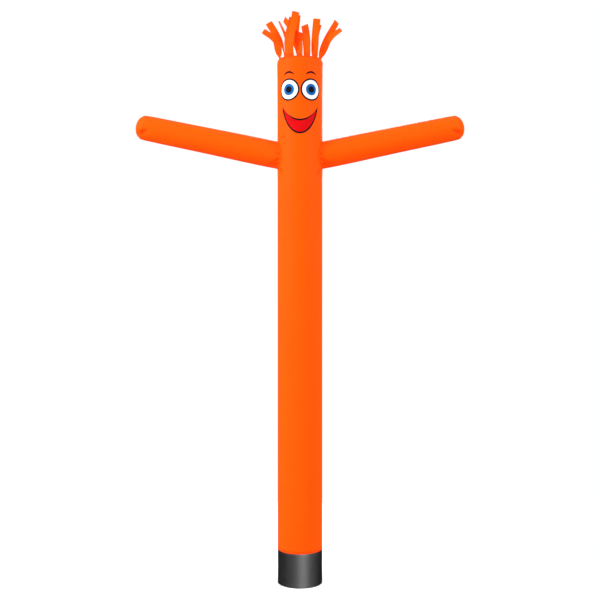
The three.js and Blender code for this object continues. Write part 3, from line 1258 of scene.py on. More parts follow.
@dataclass
class Arm:
    """One sleeve arm and the panel that closes it at the hand."""

    form: ArmForm
    maker: Maker
    sides: int = 96
    port_allowance: float = 0.05
    hand_rows: int = 18
    hand_gap: float = 0.0004
    shoulder_shade: tuple[float, float] = (0.006, 0.013)
    sleeve_end_shade: tuple[float, float] = (0.034, 0.041)
    hand_shade: tuple[float, float] = (0.005, 0.012)

    def rows(self) -> list[float]:
        """Runs of the rows of faces, closer together at the shoulder and the hand."""
        end = self.form.hand_run
        return spaced_rows(((0.0, 0.12, 0.006), (0.12, 0.34, 0.016), (0.34, 1.30, 0.032), (1.30, end, 0.009)))

    def shaped(self, rows: Sequence[float], closed: bool) -> tuple[bmesh.types.BMesh, Array]:
        """Spins rows round the arm's axis and lays them on its form.

        Args:
            rows: The run of each row.
            closed: Whether the last row is the pole.

        Returns:
            The mesh, and one row of angle and run for each of its points.
        """
        radii = [float(self.form.outline.at(run)[0]) for run in rows]
        if closed:
            radii[-1] = 0.0
        bm = turned(list(zip(radii, rows, strict=True)), self.sides)
        runs = bm.verts.layers.float[RUN_LAYER]
        bm.verts.index_update()
        turns = [math.atan2(vert.co.x, -vert.co.y) % FULL_TURN for vert in bm.verts]
        places = np.array([turns, [rows[round(vert[runs])] for vert in bm.verts]]).T
        for vert, point in zip(bm.verts, self.form.surface(*places.T), strict=True):
            vert.co = point
        return bm, places

    def outward(self, point: Vector) -> Vector:
        """The direction from the arm's axis, or from the middle of its dome, out to a point."""
        own = self.form.own(point)
        return self.form.place().to_3x3() @ Vector((own.x, own.y, max(0.0, own.z - self.form.straight)))

    def seam_strength(self, point: Vector) -> float:
        """Tells how far a place on the sleeve lies on doubled cloth, at the shoulder and the hand.

        Args:
            point: The place.

        Returns:
            The strength, from 0 to 1.
        """
        own = self.form.own(point)
        root = float(self.form.root_at(self.form.own_angle(own)))
        shoulder = 1 - float(smooth_step(own.z - root, *self.shoulder_shade))
        hand = float(smooth_step(own.z - self.form.straight, *self.sleeve_end_shade))
        return max(0.6 * shoulder, 0.7 * hand)

    def hand_strength(self, point: Vector) -> float:
        """Tells how far a place on the hand's panel lies on doubled cloth.

        Args:
            point: The place.

        Returns:
            The strength, from 0 to 1.
        """
        form = self.form
        seam = form.straight + form.dome_depth * math.sin(form.hand_seam)
        return 0.7 * (1 - float(smooth_step(form.own(point).z - seam, *self.hand_shade)))

    def build(self) -> None:
        """Builds the sleeve and the hand's panel."""
        self.build_sleeve()
        self.build_hand()

    def build_sleeve(self) -> None:
        """Builds the tapered sleeve."""
        form, label = self.form, self.form.side.label
        bm, places = self.shaped(self.rows(), closed=False)
        turns, runs = places.T
        across = turns / FULL_TURN * form.girth
        face_away(bm, self.outward)
        lay_cloth(bm, dict(enumerate(zip(across, runs, strict=True))), form.girth)
        mark_seams(bm, self.seam_strength)
        # Painted shade: the colour deepens where creases and puckers draw the cloth in
        shade_folds(bm, form.sink(turns, runs))
        sleeve = self.maker.piece(f"arm_cloth_{label}", bm, ORANGE, CLOTH_WALL)
        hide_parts(f"arm_{label}")
        flat = (form.girth, form.hand_run + self.port_allowance)
        area = math.pi * (form.root_radius + form.hand_radius) * form.hand_run

    def build_hand(self) -> None:
        """Builds the domed panel at the hand."""
        form, label = self.form, self.form.side.label
        start, end = form.hand_run + self.hand_gap, form.outline.end
        rows = [start + (end - start) * (i / self.hand_rows) ** 0.8 for i in range(self.hand_rows + 1)]
        bm, _ = self.shaped(rows, closed=True)
        face_away(bm, self.outward)
        bm.verts.index_update()
        owns = [form.own(vert.co) for vert in bm.verts]
        lay_cloth(bm, {number: (own.x, own.y) for number, own in enumerate(owns)}, 0)
        mark_seams(bm, self.hand_strength)
        hand = self.maker.piece(f"hand_panel_{label}", bm, ORANGE, CLOTH_WALL)
        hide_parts(f"hand_cap_{label}")
        width = 2 * (end - start)
        flat, area = (width, width), math.pi * width**2 / 4


# ---------------------------------------------------------------- hair


@dataclass(frozen=True)
class Strip:
    """One strip of the fringe, by the course that it takes up from its band.

    root is in degrees round the band, 0 at the front and 90 towards +X. course is the points that
    it passes, its tip last. low and tip are how many degrees its flat side is turned about the
    course, low down and at the tip. curl is how hollow its flat side is, and slant how askew its
    end is cut.
    """

    root: float
    course: tuple[tuple[float, float, float], ...]
    low: float
    tip: float
    curl: float
    slant: float


STRIPS = (
    Strip(
        root=-69,
        course=((-0.228, -0.095, 5.598), (-0.251, -0.105, 5.690), (-0.384, -0.122, 5.788)),
        low=0, tip=35, curl=0.0026, slant=0.1,
    ),
    Strip(
        root=-37.5,
        course=((-0.127, -0.170, 5.690), (-0.075, -0.158, 5.918)),
        low=-35, tip=0, curl=-0.002, slant=-0.06,
    ),
    Strip(
        root=-22.5,
        course=((-0.097, -0.216, 5.660), (-0.043, -0.200, 5.970)),
        low=-30, tip=0, curl=0.0024, slant=-0.12,
    ),
    Strip(
        root=0,
        course=((-0.007, -0.190, 5.630), (-0.047, -0.135, 5.748), (-0.166, -0.084, 5.918)),
        low=-18, tip=-55, curl=0.0022, slant=0.1,
    ),
    Strip(
        root=20,
        course=((0.070, -0.150, 5.700), (0.049, -0.010, 5.876)),
        low=14, tip=-14, curl=-0.0024, slant=0.12,
    ),
    Strip(
        root=45,
        course=((0.158, -0.145, 5.700), (0.177, -0.100, 5.920)),
        low=-10, tip=0, curl=0.0026, slant=0.04,
    ),
    Strip(
        root=71,
        course=((0.251, -0.084, 5.606), (0.301, -0.094, 5.705), (0.430, -0.104, 5.807)),
        low=0, tip=-45, curl=-0.0022, slant=-0.1,
    ),
    Strip(
        root=110,
        course=((0.243, 0.082, 5.630), (0.290, 0.092, 5.744), (0.393, 0.104, 5.939)),
        low=170, tip=222, curl=0.0022, slant=0.14,
    ),
    Strip(
        root=134,
        course=((0.157, 0.138, 5.700), (0.168, 0.125, 5.810), (0.196, 0.112, 5.914)),
        low=160, tip=180, curl=-0.0024, slant=0.1,
    ),
    Strip(
        root=161,
        course=((0.072, 0.190, 5.690), (0.052, 0.135, 5.762), (-0.024, 0.062, 5.787)),
        low=180, tip=180, curl=0.002, slant=0.06,
    ),
    Strip(
        root=181,
        course=((-0.008, 0.200, 5.636), (-0.048, 0.150, 5.760), (-0.031, 0.060, 6.000)),
        low=180, tip=176, curl=-0.0026, slant=0.08,
    ),
    Strip(
        root=199,
        course=((-0.146, 0.196, 5.780), (-0.228, 0.188, 5.963)),
        low=225, tip=250, curl=0.0022, slant=-0.1,
    ),
    Strip(
        root=221,
        course=((-0.193, 0.160, 5.702), (-0.336, 0.150, 5.938)),
        low=255, tip=168, curl=-0.0024, slant=0.12,
    ),
)


def smooth_course(points: Sequence[Array], per_span: int = 60) -> Array:
    """Closely spaced points on a smooth curve through the given ones.

    Args:
        points: The points to pass, first to last.
        per_span: How many steps to take between two of them.

    Returns:
        One row of x, y and z for each point.
    """
    ends = [2 * points[0] - points[1], *points, 2 * points[-1] - points[-2]]
    course = []
    for before, start, end, after in zip(ends, ends[1:], ends[2:], ends[3:], strict=False):
        gaps = [np.sqrt(np.linalg.norm(b - a)) for a, b in ((before, start), (start, end), (end, after))]
        leave = (start - before) / gaps[0] - (end - before) / (gaps[0] + gaps[1]) + (end - start) / gaps[1]
        arrive = (end - start) / gaps[1] - (after - start) / (gaps[1] + gaps[2]) + (after - end) / gaps[2]
        leave, arrive = leave * gaps[1], arrive * gaps[1]
        share = (np.arange(per_span) / per_span)[:, None]
        bend = -3 * start + 3 * end - 2 * leave - arrive
        twist = 2 * start - 2 * end + leave + arrive
        course.append(start + leave * share + bend * share**2 + twist * share**3)
    return np.vstack([*course, points[-1]])


@dataclass
class StripForm:
    """One strip's cloth, by side across it, from -1 to 1, and by share along it, from 0 to 1."""

    row: Strip
    phase: float
    start: Array
    width: float = 0.075
    root_width: float = 0.052
    straight: float = 0.03
    twist: float = 0.2
    gather: float = 0.35
    cut_start: float = 0.8
    free_after: tuple[float, float] = (0.02, 0.3)
    pleat: float = 0.0022
    pleat_turns: float = 2.4
    pleats_in: tuple[float, float] = (0.02, 0.09)
    pleats_out: tuple[float, float] = (0.1, 0.55)
    ripple: float = 0.0011
    ripple_wave: float = 11.0
    flutter: float = 0.0008
    flutter_wave: float = 23.0
    fold: float = 0.0016
    fold_aside: float = 0.15
    fold_width: float = 0.13
    course: Array = field(init=False)
    runs: Array = field(init=False)

    def __post_init__(self) -> None:
        """Lays out the strip's course and the distances along it."""
        self.course = smooth_course([self.start, *map(np.array, self.row.course)])
        steps = np.linalg.norm(np.diff(self.course, axis=0), axis=1)
        self.runs = np.concatenate(([0.0], np.cumsum(steps)))

    @property
    def length(self) -> float:
        """The strip's length along its course."""
        return float(self.runs[-1])

    def turn_at(self, share: float) -> float:
        """Works out how far the strip's flat side is turned about its course.

        Args:
            share: The place along the strip.

        Returns:
            The turn, in radians.
        """
        row = self.row
        if share < self.twist:
            mixed = float(smooth_step(share, self.straight, self.twist))
            return math.radians(row.root + (row.low - row.root) * mixed)
        mixed = float(smooth_step(share, self.twist, 1.0))
        return math.radians(row.low + (row.tip - row.low) * mixed)

    def cut(self, side: float, share: float) -> float:
        """Moves a place near the strip's end so that the end is cut askew.

        Args:
            side: The place across the strip.
            share: The place along it.

        Returns:
            The new place along it.
        """
        if share <= self.cut_start:
            return share
        slant = self.row.slant * side * self.width / 2 / self.length
        return min(1.0, share * (1 + slant * (share - self.cut_start) / (1 - self.cut_start)))

    def frame_at(self, share: float) -> tuple[Vector, Vector, Vector]:
        """Finds the strip's middle line and the way that its cloth lies there.

        Args:
            share: The place along the strip.

        Returns:
            The point on its course, the direction across it and the direction out of its flat side.
        """
        run = share * self.length
        behind, point, ahead = read_course(self.course, self.runs, np.array([run - PROBE, run, run + PROBE]))
        lean = float(smooth_step(share, self.straight, self.twist))
        along = Vector((0, 0, 1)).lerp(Vector(ahead - behind).normalized(), lean).normalized()
        across = Vector((along.z, 0, -along.x)).normalized()
        across.rotate(Matrix.Rotation(self.turn_at(share), 3, along))
        return Vector(point), across, along.cross(across)

    def relief(self, side: float, share: float) -> float:
        """Works out how far the cloth stands out from the strip's flat side.

        Args:
            side: The place across the strip.
            share: The place along it.

        Returns:
            The height of its pleats, hollow, ripples and fold, in metres.
        """
        free = float(smooth_step(share, *self.free_after))
        eased = 1 - 0.85 * float(smooth_step(share, *self.pleats_out))
        gathered = float(smooth_step(share, *self.pleats_in)) * eased
        pleats = self.pleat * math.sin(side * self.pleat_turns * math.pi + self.phase) * gathered
        hollow = self.row.curl * (side * side - 0.4)
        ripples = self.ripple * math.sin(share * self.ripple_wave + self.phase) * side
        ripples += self.flutter * math.sin(share * self.flutter_wave + 2.1 * self.phase) * side**3
        off = (side - self.fold_aside * math.sin(self.phase)) / self.fold_width
        fold = self.fold * math.exp(-(off**2)) * (1 - 0.5 * share)
        return pleats + (hollow + ripples - fold) * free

    def point(self, side: float, share: float) -> Vector:
        """Finds a point of the strip's cloth.

        Args:
            side: The place across the strip.
            share: The place along it.

        Returns:
            The point.
        """
        middle, across, out = self.frame_at(share)
        opened = float(smooth_step(share, self.straight, self.gather))
        width = self.root_width + (self.width - self.root_width) * opened
        return middle + across * (side * width / 2) + out * self.relief(side, share)


@dataclass
class Hair:
    """The fringe: cut strips of cloth, gathered at their roots into a narrow folded band."""

    maker: Maker
    band_radius: float = 0.2244
    band_cloth: float = 0.0044
    band_foot: float = 5.4993
    band_height: float = 0.012
    band_ripple: float = 0.0005
    band_dip: float = 0.0005
    band_flat: float = 0.002
    band_row: float = 0.003
    band_sides: int = 160
    fold_steps: int = 8
    root_rise: float = 0.004
    root_inset: float = 0.00075
    root_shade: tuple[float, float] = (0.012, 0.05)
    edge_shade: tuple[float, float] = (0.8, 0.98)
    strip_wall: float = 0.0009
    strip_left: float = 0.97
    pattern_step: float = 0.31
    phase_step: float = 1.37
    steps_across: int = 14
    steps_along: int = 56

    def build(self) -> None:
        """Builds all of the strips and their band."""
        for number, row in enumerate(STRIPS, start=1):
            self.build_strip(number, row)
        self.build_band()

    def band_section(self) -> list[tuple[float, float]]:
        """Draws the cut through the band: a strip folded over the roots.

        Returns:
            Radius and height of each corner, the first one again at the end.
        """
        half, top = self.band_cloth / 2, self.band_foot + self.band_height
        section = [(self.band_radius + half, self.band_foot)]
        for i in range(self.fold_steps + 1):
            angle = math.pi * i / self.fold_steps
            section.append((self.band_radius + half * math.cos(angle), top - half + half * math.sin(angle)))
        return [*section, (self.band_radius - half, self.band_foot), section[0]]

    def build_band(self) -> None:
        """Builds the band, closed all round, with the ripples that the roots press into it."""
        bm = turned(self.band_section(), self.band_sides)
        runs = bm.verts.layers.float[RUN_LAYER]
        bm.verts.index_update()
        places = {}
        for vert in bm.verts:
            angle = math.atan2(vert.co.x, -vert.co.y)
            if vert.co.z > self.band_foot + self.band_flat:
                ripple = self.band_ripple * (math.sin(31 * angle) + 0.8 * math.sin(13 * angle + 1))
                dip = self.band_dip * (1 + math.sin(17 * angle))
                vert.co += Vector((ripple * math.sin(angle), -ripple * math.cos(angle), -dip))
            places[vert.index] = (angle * self.band_radius, vert[runs] * self.band_row)
        bmesh.ops.recalc_face_normals(bm, faces=bm.faces[:])
        lay_cloth(bm, places, FULL_TURN * self.band_radius)
        mark_seams(bm, lambda point: 0.5)
        band = self.maker.piece("hair_band", bm, HAIR, crisp=60)
        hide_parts("hair")

    def strip_form(self, number: int, row: Strip) -> StripForm:
        """Sets one strip's root in the band.

        Args:
            number: The strip's number.
            row: Its course and shape.

        Returns:
            The strip's form.
        """
        look = math.radians(row.root)
        out = np.array([math.sin(look), -math.cos(look), 0.0])
        start = out * (self.band_radius - self.root_inset) + [0, 0, self.band_foot + self.root_rise]
        return StripForm(row, number * self.phase_step, start)

    def build_strip(self, number: int, row: Strip) -> None:
        """Builds one strip.

        Args:
            number: Its number, from the left of the front.
            row: Its course and shape.
        """
        form = self.strip_form(number, row)
        bm = bmesh.new()
        bmesh.ops.create_grid(bm, x_segments=self.steps_across, y_segments=self.steps_along, size=0.5)
        bm.verts.index_update()
        seam = bm.verts.layers.float.new(SEAM_AND_SHADE_LAYER)
        places = {}
        for vert in bm.verts:
            side = vert.co.x * 2
            share = form.cut(side, vert.co.y + 0.5)
            run = share * form.length
            # Painted shade: the strip darkens towards its cut edges, where the strips shade one another; it
            # also darkens over its first few centimetres, at the band
            edge = 0.8 * float(smooth_step(abs(side), *self.edge_shade))
            vert[seam] = max(edge, 1 - float(smooth_step(run, *self.root_shade)))
            vert.co = form.point(side, share)
            places[vert.index] = (number * self.pattern_step + side * form.width / 2, run)
        lay_cloth(bm, places, 0)
        piece = self.maker.piece(f"hair_strip_{number:02d}", bm, HAIR, self.strip_wall)
        flat, area = (form.width, form.length), form.width * form.length * self.strip_left


# ---------------------------------------------------------------- fan cuff


@dataclass
class FanCuff:
    """The dark sleeve at the foot, which slips over a blower's ring."""

    maker: Maker
    radius: float = 0.2323
    height: float = 0.396
    wall: float = 0.002
    hem: float = 0.028
    hem_step: float = 0.0007
    hem_step_run: float = 0.003
    hem_shade_run: float = 0.004
    hem_press: float = 0.0005
    swell: float = 0.0030
    lap_start: float = 0.338
    lap_end: float = 0.350
    dents_from: tuple[float, float] = (0.0, 0.05)
    dents_to: tuple[float, float] = (0.31, 0.36)
    pucker_count: int = 41
    pucker_reach: float = 0.012
    back_lap_shade: tuple[float, float] = (0.018, 0.022)
    hem_rows: int = 7
    body_rows: int = 34
    sides: int = 132
    dents: Sequence[Crease] = (
        Crease(across=-0.12, along=0.17, lean=4.0, length=0.3, width=0.07, depth=0.0011),
        Crease(across=0.16, along=0.15, lean=-6.0, length=0.26, width=0.06, depth=0.0010),
        Crease(across=0.34, along=0.18, lean=8.0, length=0.3, width=0.06, depth=0.0012),
        Crease(across=-0.36, along=0.16, lean=-5.0, length=0.28, width=0.06, depth=0.0012),
        Crease(across=0.66, along=0.17, lean=3.0, length=0.3, width=0.07, depth=0.0014),
        Crease(across=-0.62, along=0.16, lean=-4.0, length=0.3, width=0.07, depth=0.0012),
    )

    @property
    def girth(self) -> float:
        """The length once round the cuff."""
        return FULL_TURN * self.radius

    def surface(self, across: Array, run: Array) -> Array:
        """Points on the cuff's outer side.

        Args:
            across: Distances round it from the front.
            run: Heights.

        Returns:
            One row of x, y and z for each point.
        """
        lapped = smooth_step(run, self.lap_start, self.lap_end)
        past_hem = smooth_step(run, self.hem, self.hem + self.hem_step_run)
        radius = self.radius + self.swell * (1 - lapped) - self.hem_step * past_hem
        free = smooth_step(run, *self.dents_from) * (1 - smooth_step(run, *self.dents_to))
        for dent in self.dents:
            radius = radius - dent.sink(across, run, self.girth) * free
        angle = across / self.radius
        near_hem = np.exp(-(((run - self.hem) / self.pucker_reach) ** 2))
        puckers = self.hem_press * np.sin(self.pucker_count * angle) * near_hem
        radius = radius - puckers - self.hem_press * (run < self.hem)
        return np.stack([radius * np.sin(angle), -radius * np.cos(angle), run], axis=-1)

    def seam_strength(self, point: Vector) -> float:
        """Tells how far a place lies on doubled cloth, at the hem and the back lap.

        Args:
            point: The place.

        Returns:
            The strength, from 0 to 1.
        """
        hem = 1 - float(smooth_step(point.z, self.hem, self.hem + self.hem_shade_run))
        back = self.girth / 2 - abs(math.atan2(point.x, -point.y)) * self.radius
        return max(0.6 * hem, 0.7 * (1 - float(smooth_step(back, *self.back_lap_shade))))

    def rows(self) -> list[float]:
        """Spaces the rows of faces, with two more at the step of the hem.

        Returns:
            The height of each row.
        """
        low = (0.0, self.hem, self.hem / self.hem_rows)
        high = (self.hem, self.height, (self.height - self.hem) / self.body_rows)
        step = (self.hem + self.hem_step_run / 2, self.hem + self.hem_step_run)
        return sorted([*spaced_rows((low, high)), *step])

    def build(self) -> None:
        """Builds the cuff's cloth."""
        bm = turned([(self.radius, row) for row in self.rows()], self.sides)
        bm.verts.index_update()
        places = {}
        for vert in bm.verts:
            places[vert.index] = (math.atan2(vert.co.x, -vert.co.y) * self.radius, vert.co.z)
        across, run = np.array([places[vert.index] for vert in bm.verts]).T
        for vert, point in zip(bm.verts, self.surface(across, run), strict=True):
            vert.co = point
        face_away(bm, level_out)
        lay_cloth(bm, places, self.girth)
        mark_seams(bm, self.seam_strength)
        piece = self.maker.piece("cuff_cloth", bm, DARK, self.wall)
        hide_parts("fan_cuff")


# ---------------------------------------------------------------- face


@dataclass
class Face:
    """A plain sewn-on face: two round eyes set apart, their brows and a curved smile."""

    tube: TubeForm
    maker: Maker
    cloth: float = 0.0005
    lift: float = 0.00055
    eye_aside: float = 0.121
    eye_height: float = 5.160
    eye_rim: float = 0.1155
    eye_white: float = 0.0990
    eye_blue: float = 0.0600
    eye_dot: float = 0.0340
    smile_height: float = 4.955
    smile_half: float = 0.182
    smile_drop: float = 0.235
    smile_top_drop: float = 0.118
    smile_low_bow: float = 0.72
    smile_grid: tuple[int, int] = (64, 14)
    outline: float = 0.0175
    corner_reach: float = 1.5
    corner_rise: float = 1.8
    brow_height: float = 5.315
    brow_half: float = 0.062
    brow_rise: float = 0.026
    brow_width: float = 0.020
    brow_taper: float = 0.75
    brow_grid: tuple[int, int] = (28, 5)
    edge_shade: tuple[float, float] = (0.93, 0.99)
    rings: int = 10
    sides: int = 72
    sewing: Stitching = Stitching(pitch=0.0030, length=0.0052, width=0.0013, height=0.0006)

    def build(self) -> None:
        """Builds the eyes, the brows, the smile and their edge stitches."""
        stitches = bmesh.new()
        for side in Side:
            middle = (side.value * self.eye_aside, self.eye_height)
            self.disc(f"eye_rim_{side.label}", FACE_BLACK, middle, self.eye_rim, 1)
            self.disc(f"eye_white_{side.label}", FACE_WHITE, middle, self.eye_white, 2)
            self.disc(f"eye_blue_{side.label}", FACE_BLUE, middle, self.eye_blue, 3)
            self.disc(f"eye_dot_{side.label}", FACE_BLACK, middle, self.eye_dot, 4)
            turn = np.linspace(0, FULL_TURN, EDGE_STEPS + 1)
            across, run = self.eye_rim * np.sin(turn), self.eye_rim * np.cos(turn)
            self.sew_edge(stitches, middle[0] + across, middle[1] + run)
            self.brow(side)
        self.smile("smile_rim", FACE_BLACK, self.outline, 1)
        self.smile("smile_red", FACE_RED, 0.0, 2)
        shares = np.sin(np.linspace(-math.pi / 2, math.pi / 2, EDGE_STEPS // 2 + 1))
        top = [self.smile_edge(float(share), self.outline, upper=True) for share in shares]
        low = [self.smile_edge(float(share), self.outline, upper=False) for share in shares[::-1]]
        loop = np.array([*top, *low])
        self.sew_edge(stitches, loop[:, 0], self.smile_height + loop[:, 1])
        self.maker.piece("face_stitches", stitches, BLACK_THREAD)

    def disc(
        self,
        name: str,
        finish: ClothFinish,
        middle: tuple[float, float],
        radius: float,
        level: int,
    ) -> None:
        """Adds one round patch.

        Args:
            name: The piece's name.
            finish: Its cloth.
            middle: Its middle, across and up the tube.
            radius: Its radius.
            level: The layer of cloth that it is.
        """
        bm = turned([(radius * i / self.rings, 0.0) for i in range(self.rings + 1)], self.sides)
        edge = bm.verts.layers.float.new(SEAM_AND_SHADE_LAYER)
        for vert in bm.verts:
            vert[edge] = math.hypot(vert.co.x, vert.co.y) / radius
        self.wrap(bm, middle, level)
        self.patch(name, bm, finish)

    def brow(self, side: Side) -> None:
        """Adds the curved strip above one eye.

        Args:
            side: The side that the eye is on.
        """
        bm = bmesh.new()
        bmesh.ops.create_grid(bm, x_segments=self.brow_grid[0], y_segments=self.brow_grid[1], size=0.5)
        edge = bm.verts.layers.float.new(SEAM_AND_SHADE_LAYER)
        for vert in bm.verts:
            share, mix = vert.co.x * 2, vert.co.y * 2
            vert[edge] = max(abs(share), abs(mix))
            half = self.brow_width / 2 * (1 - self.brow_taper * share**4)
            vert.co = (share * self.brow_half, self.brow_rise * (1 - share**2) + mix * half, 0)
        area = sum(face.calc_area() for face in bm.faces)
        self.wrap(bm, (side.value * self.eye_aside, self.brow_height), 1)
        self.patch(f"brow_{side.label}", bm, FACE_BLACK)

    def smile(self, name: str, finish: ClothFinish, grow: float, level: int) -> None:
        """Adds one layer of the smile.

        Args:
            name: The piece's name.
            finish: Its cloth.
            grow: How far it reaches past the red cloth's outline.
            level: The layer of cloth that it is.
        """
        bm = bmesh.new()
        bmesh.ops.create_grid(bm, x_segments=self.smile_grid[0], y_segments=self.smile_grid[1], size=0.5)
        nearness = []
        for vert in bm.verts:
            share, mix = math.sin(vert.co.x * math.pi), vert.co.y + 0.5
            nearness.append(max(abs(share) ** 3, abs(2 * mix - 1)))
            aside, top = self.smile_edge(share, grow, upper=True)
            low = self.smile_edge(share, grow, upper=False)[1]
            vert.co = (aside, low + (top - low) * mix, 0)
        bmesh.ops.remove_doubles(bm, verts=bm.verts[:], dist=1e-6)
        # The points are fewer now, so each value lands a little further along its row than
        # where it was read: the corners' deeper colour runs inwards as a faint slanting band.
        edge = bm.verts.layers.float.new(SEAM_AND_SHADE_LAYER)
        for vert, near in zip(bm.verts, nearness, strict=False):
            vert[edge] = near
        self.wrap(bm, (0.0, self.smile_height), level)
        area = sum(face.calc_area() for face in bm.faces)
        size = (2 * self.smile_reach(grow), self.smile_drop + grow)
        self.patch(name, bm, finish)

    def smile_reach(self, grow: float) -> float:
        """How far the smile's corners lie from its middle."""
        return self.smile_half + grow * self.corner_reach

    def smile_edge(self, share: float, grow: float, upper: bool) -> tuple[float, float]:
        """Finds a point of the smile's outline.

        Args:
            share: From -1, at its left corner, to 1, at its right.
            grow: How far the outline is moved outwards.
            upper: Whether the point is on the upper edge.

        Returns:
            Its place across and up the cloth, from the smile's middle.
        """
        corner = grow * self.corner_rise
        drop = corner + ((self.smile_top_drop - grow) if upper else (self.smile_drop + grow))
        bow = (1 - share * share) ** (1.0 if upper else self.smile_low_bow)
        return self.smile_reach(grow) * share, corner - drop * bow

    def wrap(self, bm: bmesh.types.BMesh, middle: tuple[float, float], level: int) -> None:
        """Lays a flat shape, drawn in X and Y, on the tube's cloth.

        Args:
            bm: The flat shape.
            middle: Where its origin goes, across and up the tube.
            level: The layer of cloth that it is.
        """
        bm.verts.index_update()
        places = {vert.index: (middle[0] + vert.co.x, middle[1] + vert.co.y) for vert in bm.verts}
        across, run = np.array([places[vert.index] for vert in bm.verts]).T
        for vert, point in zip(bm.verts, self.tube.surface(across, run, level * self.lift), strict=True):
            vert.co = point
        face_away(bm, level_out)
        lay_cloth(bm, places, 0)

    def patch(
        self,
        name: str,
        bm: bmesh.types.BMesh,
        finish: ClothFinish,
    ) -> None:
        """Finishes a patch, with a deeper colour where its edge is sewn down.

        Args:
            name: The piece's name.
            bm: Its mesh, whose seam layer tells how near each point is to the edge.
            finish: Its cloth.
        """
        edge = bm.verts.layers.float[SEAM_AND_SHADE_LAYER]
        for vert in bm.verts:
            vert[edge] = 0.5 * float(smooth_step(vert[edge], *self.edge_shade))
        piece = self.maker.piece(name, bm, finish, self.cloth)

    def sew_edge(self, bm: bmesh.types.BMesh, across: Array, run: Array) -> None:
        """Sews over the edge of a patch.

        Args:
            bm: The mesh that takes the stitches.
            across: The edge's course round the tube.
            run: Its course up the tube.
        """
        points = self.tube.surface(across, run, self.lift)
        normals = self.tube.surface(across, run, self.lift + PROUD) - points
        self.sewing.sew(bm, points, normals, crosswise=True)


# ---------------------------------------------------------------- stitches along the seams


@dataclass
class Seams:
    """The topstitching along the figure's seams and hems."""

    maker: Maker
    tube: TubeForm
    arms: Sequence[ArmForm]
    cuff: FanCuff
    hem_run: float = 0.3765
    below_rim: float = 0.040
    cuff_runs: tuple[float, float] = (0.025, 0.334)
    arm_inset: float = 0.0075
    back_asides: tuple[float, float] = (-0.0055, 0.0055)
    back_ends: tuple[float, float] = (0.390, 5.44)
    back_steps: int = 899
    sewing: Stitching = Stitching()
    back_sewing: Stitching = Stitching(pitch=0.0105, length=0.008)

    def build(self) -> None:
        """Sews the hem, the head, the cuff, the shoulders, the hands and the back."""
        tube, cuff = self.tube, self.cuff
        self.sew_rings("hem_stitches", ORANGE_THREAD, tube.surface, tube.girth, [self.hem_run])
        head_run = tube.outline.end - self.below_rim
        self.sew_rings("head_stitches", ORANGE_THREAD, tube.surface, tube.girth, [head_run])
        self.sew_rings("cuff_stitches", DARK_THREAD, cuff.surface, cuff.girth, self.cuff_runs)
        for arm in self.arms:
            runs = (self.arm_inset, arm.hand_run - self.arm_inset)
            self.sew_rings(f"arm_stitches_{arm.side.label}", ORANGE_THREAD, arm.surface, FULL_TURN, runs)
        self.sew_back()

    def sew_rings(
        self,
        name: str,
        thread: ThreadFinish,
        surface: Callable[[Array, Array], Array],
        turn: float,
        runs: Sequence[float],
    ) -> None:
        """Sews one piece of one or more rings round a form.

        Args:
            name: The piece's name.
            thread: What it is sewn with.
            surface: The form's surface, by place round it and run along it.
            turn: What once round measures in the form's own terms.
            runs: The run of each ring.
        """
        bm = bmesh.new()
        for run in runs:
            points, normals = ring_course(surface, turn, run)
            if ((points - points.mean(axis=0)) * normals).sum() < 0:
                normals = -normals
            self.sewing.sew(bm, points, normals)
        self.maker.piece(name, bm, thread)

    def sew_back(self) -> None:
        """Sews the two rows beside the tube's back seam."""
        bm = bmesh.new()
        run = np.linspace(*self.back_ends, self.back_steps + 1)
        for aside in self.back_asides:
            across = np.full_like(run, self.tube.girth / 2 + aside)
            points = self.tube.surface(across, run)
            normals = self.tube.surface(across, run, PROUD) - points
            self.back_sewing.sew(bm, points, normals)
        self.maker.piece("back_stitches", bm, ORANGE_THREAD)


# ---------------------------------------------------------------- studio


